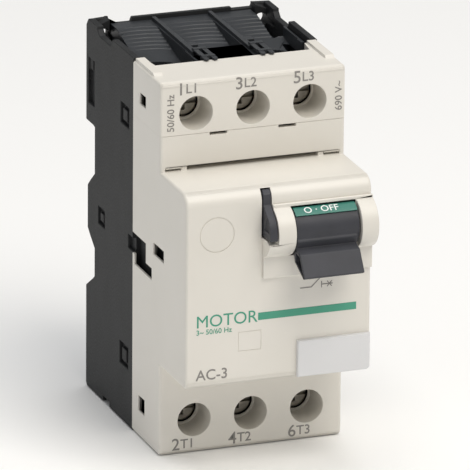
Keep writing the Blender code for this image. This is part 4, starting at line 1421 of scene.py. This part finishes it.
@dataclass
class Prints:
    """Generic marks printed on the front: terminal numbers, the switch symbol, ratings and the green line."""

    proud: float = 0.03
    number_height: float = 2.9
    letter_height: float = 2.25
    letter_lift: float = 0.3

    def lettering(
        self, text: str, size: float, x: float, z: float, front: float, turn: float = 0.0, bold: float = 0.01
    ) -> Solid:
        """Text on a face that looks forward.

        Args:
            text: The characters.
            size: The height of a capital letter.
            x: The left end of the line.
            z: The foot of the line.
            front: The y of the face that it is printed on.
            turn: The turn in the plane of the face, in degrees.
            bold: How far the outline is grown, as a share of the height.

        Returns:
            The lettering as a mesh, in millimetres.
        """
        made = self.flat_text(text, size, bold)
        made.matrix_world = (
            Matrix.Translation((x, front - self.proud + 0.01, z))
            @ Matrix.Rotation(-math.radians(turn), 4, "Y")
            @ Matrix.Rotation(math.pi / 2, 4, "X")
        )
        apply_place(made)
        return made

    def flat_text(self, text: str, size: float, bold: float = 0.01) -> Solid:
        """Text lying flat at the origin as a thin closed mesh.

        Args:
            text: The characters.
            size: The height of a capital letter.
            bold: How far the outline is grown, as a share of the height.

        Returns:
            The mesh, in millimetres.
        """
        start_fresh()
        bpy.ops.object.text_add()
        made = bpy.context.active_object
        made.data.body = text
        made.data.size = size / 0.71
        made.data.extrude = self.proud
        made.data.offset = bold * size
        made.data.resolution_u = 4
        bpy.ops.object.convert(target="MESH")
        bpy.ops.object.mode_set(mode="EDIT")
        bpy.ops.mesh.select_all(action="SELECT")
        bpy.ops.mesh.remove_doubles(threshold=MERGE)
        face_outward()
        return made

    def stroke(self, points: Sequence[Point], width: float, front: float) -> Solid:
        """A line of even width through (x, z) points, as thin solid ink."""
        parts = []
        for (x0, z0), (x1, z1) in zip(points, points[1:]):
            along = Vector((x1 - x0, z1 - z0)).normalized()
            across = Vector((-along.y, along.x)) * width / 2
            reach = along * width * 0.3
            start, end = Vector((x0, z0)) - reach, Vector((x1, z1)) + reach
            corners = [tuple(c) for c in (start + across, start - across, end - across, end + across)]
            parts.append(slab(corners, Axis.Y, front - 2 * self.proud, front + 0.01))
        return add(parts[0], *parts[1:]) if len(parts) > 1 else parts[0]

    def terminal_numbers(self) -> None:
        """The numbers of the line and load terminals."""
        for kind, foot, marks in (
            ("line", 86.15, (("1", "L1", -18.4), ("3", "L2", -4.4), ("5", "L3", 9.55))),
            ("load", 0.95, (("2", "T1", -19.2), ("4", "T2", -5.4), ("6", "T3", 9.1))),
        ):
            for digit, letters, left in marks:
                number = self.lettering(digit, self.number_height, left, foot, FACE_Y)
                finish_piece(number, f"{kind}_number_{digit}", Body.CASING, GREY_INK)
                lifted = foot + self.letter_lift
                mark = self.lettering(letters, self.letter_height, left + 2.1, lifted, FACE_Y)
                finish_piece(mark, f"{kind}_letters_{letters}", Body.CASING, GREY_INK)

    def green_line(self) -> None:
        """The green line across the block and the motor symbol before it."""
        bar_ink = self.stroke([(-4.4, 37.8), (18.2, 37.8)], 1.75, MAIN_Y)
        finish_piece(bar_ink, "green_line", Body.CASING, GREEN_INK)
        word = self.lettering("MOTOR", 2.9, -19.9, 36.6, MAIN_Y, 0.0, 0.0)
        finish_piece(word, "motor_word", Body.CASING, GREEN_INK)
        symbol = self.lettering("3~ 50/60 Hz", 1.2, -19.8, 34.9, MAIN_Y)
        finish_piece(symbol, "motor_symbol", Body.CASING, GREEN_INK)

    def switch_symbol(self) -> None:
        """The break symbol under the lever and the small trip symbol beside it."""
        lever = self.stroke([(5.2, 43.4), (7.8, 43.4), (10.4, 45.9)], 0.22, MAIN_Y)
        finish_piece(lever, "switch_symbol", Body.CASING, GREY_INK)
        trip = self.stroke([(10.3, 44.5), (10.3, 43.1)], 0.2, MAIN_Y)
        add(trip, self.stroke([(10.3, 43.8), (12.9, 43.8)], 0.2, MAIN_Y))
        add(trip, self.stroke([(11.7, 44.4), (12.7, 43.2)], 0.2, MAIN_Y))
        add(trip, self.stroke([(12.7, 44.4), (11.7, 43.2)], 0.2, MAIN_Y))
        finish_piece(trip, "trip_symbol", Body.CASING, GREY_INK)

    def ratings(self) -> None:
        """Generic ratings: duty class on the block, frequency and voltage up the edges."""
        duty = self.lettering("AC-3", 2.5, -19.8, 24.0, MAIN_Y)
        finish_piece(duty, "duty_print", Body.CASING, GREY_INK)
        frequency = self.lettering("50/60 Hz", 1.7, -19.0, 77.6, FACE_Y, 90.0)
        finish_piece(frequency, "frequency_print", Body.CASING, GREY_INK)
        voltage = self.lettering("690 V~", 1.7, 21.4, 78.6, FACE_Y, 90.0)
        finish_piece(voltage, "voltage_print", Body.CASING, GREY_INK)

    def off_mark(self) -> None:
        """The white off mark on the drum's label, laid on the middle of its arc."""
        angle = math.radians(119)
        reach = 5.52
        made = self.flat_text("O · OFF", 1.75)
        lay = Matrix.Translation((0.0, LEVER_Y, LEVER_Z)) @ Matrix.Rotation(angle - math.pi / 2, 4, "X")
        made.matrix_world = lay @ Matrix.Translation((5.1, -0.86, reach))
        apply_place(made)
        finish_piece(made, "off_mark", Body.LEVER, WHITE_INK)

    def build(self) -> None:
        """Prints all marks."""
        self.terminal_numbers()
        self.green_line()
        self.switch_symbol()
        self.ratings()
        self.off_mark()


# Inside


@dataclass
class Interior:
    """The switching parts inside, which keep their CAD shape and get their finishes."""

    def dress(self, nodes: dict[str, Solid]) -> None:
        """Gives each remaining CAD node its finish by what it is made of."""
        finishes = (
            (("line_plate", "load_plate", "coil_strip", "moving_contact"), ROLLED_COPPER),
            (("trip_coil",), ENAMELLED_WIRE),
            (("contact_carrier", "trip_bar"), PHENOLIC_BROWN),
            (("arc_chute",), FIBRE_AND_STEEL),
            (("coil_yoke", "mechanism_bracket", "trip_plunger", "lever_shaft"), ZINC_PLATED_STEEL),
            (("contact_spring",), SPRING_STEEL),
        )
        for name, node in nodes.items():
            for starts, finish in finishes:
                if name.startswith(starts):
                    node.data.materials.clear()
                    node.data.materials.append(finish.material())
                    LOG.info("%s: %s", name, finish.name)


# Studio


@dataclass
class Studio:
    """A pale floor, soft lights and the camera."""

    floor_colour: str = "#fdfdfc"
    aim: Triple = (0.0011, 0.0022, 0.0462)
    from_left: float = 20.27
    from_above: float = 18.99
    roll: float = 0.46
    distance: float = 1.9
    lens: float = 635.7

    def floor(self) -> None:
        """A wide floor that curves up behind the breaker."""
        section = [(-3.0, 0.0), (2.6, 0.0), *arc((2.6, 0.8), 0.8, 270, 360, 16), (3.4, 3.0)]
        made = chain([Axis.X.place(a, b - 0.0002, -3.0) for a, b in section])
        bpy.ops.mesh.extrude_region_move(TRANSFORM_OT_translate={"value": (6.0, 0.0, 0.0)})
        bpy.ops.object.mode_set(mode="OBJECT")
        bpy.ops.object.shade_smooth_by_angle(angle=math.radians(30))
        made.name = "studio_floor"
        tint = self.floor_colour
        paper = Finish("matt_backdrop_paper", tint, tint, 0.9, 0.03, 2.0, 0.01, 300.0)
        made.data.materials.append(paper.material())

    def light(self, name: str, place: Triple, target: Triple, size: float, power: float, colour: str) -> None:
        """A square soft light.

        Args:
            name: Its name.
            place: Where it stands.
            target: What it faces.
            size: The length of its side.
            power: Its power in watts.
            colour: Its colour.
        """
        bpy.ops.object.light_add(type="AREA", location=place)
        lamp = bpy.context.active_object
        lamp.name = name
        lamp.data.shape = "SQUARE"
        lamp.data.size = size
        lamp.data.energy = power
        lamp.data.color = linear(colour)[:3]
        lamp.rotation_euler = (Vector(target) - Vector(place)).to_track_quat("-Z", "Y").to_euler()

    def lights(self) -> None:
        """The key over the front right, the fill at the left, and the sky."""
        middle = (0.0, 0.0, 0.045)
        self.light("key_light", (0.28, -0.72, 1.15), middle, 0.8, 10.2, "#fffaf2")
        self.light("left_fill", (-1.3, -0.3, 0.5), middle, 0.9, 0.75, "#f6f9ff")
        self.light("top_light", (0.0, 0.1, 1.3), middle, 0.8, 6.2, "#ffffff")
        world = bpy.data.worlds.new("soft_sky")
        world.use_nodes = True
        sky = world.node_tree.nodes["Background"]
        sky.inputs["Color"].default_value = linear("#f7f8fa")
        sky.inputs["Strength"].default_value = 0.33
        bpy.context.scene.world = world
        bpy.context.scene.view_settings.view_transform = "Standard"

    def camera(self) -> None:
        """The camera, far off with a long lens, to the left of the front and above it."""
        bpy.ops.object.camera_add()
        made = bpy.context.active_object
        made.name = "front_camera"
        swing = Matrix.Rotation(-math.radians(self.from_left), 4, "Z")
        tilt = Matrix.Rotation(math.radians(90.0 - self.from_above), 4, "X")
        roll = Matrix.Rotation(math.radians(self.roll), 4, "Z")
        back = Matrix.Translation((0.0, 0.0, self.distance))
        made.matrix_world = Matrix.Translation(self.aim) @ swing @ tilt @ roll @ back
        made.data.sensor_width = 36.0
        made.data.lens = self.lens
        made.data.clip_start = 0.05
        made.data.clip_end = 50.0
        bpy.context.scene.camera = made

    def build(self) -> None:
        """Sets up the floor, the lights and the camera."""
        start_fresh()
        self.floor()
        self.lights()
        self.camera()


def main() -> None:
    """Builds every sub-assembly in order."""
    logging.basicConfig(level=logging.INFO, format="%(message)s")
    Studio().build()
    FrontCover().build()
    UpperTerminalCover().build()
    RearHousing().build()
    guide = WireGuide()
    guide.build_upper()
    guide.build_lower()
    LeverBezel().build()
    MarkerPlate().build()
    lever = ToggleLever()
    lever.build()
    lever.build_label()
    PadlockSlide().build()
    TerminalScrews().build()
    WireClamps().build()
    latch = RailLatch()
    latch.build()
    latch.build_spring()
    Prints().build()
    Interior().dress(frame["nodes"])


if __name__ == "__main__":
    main()
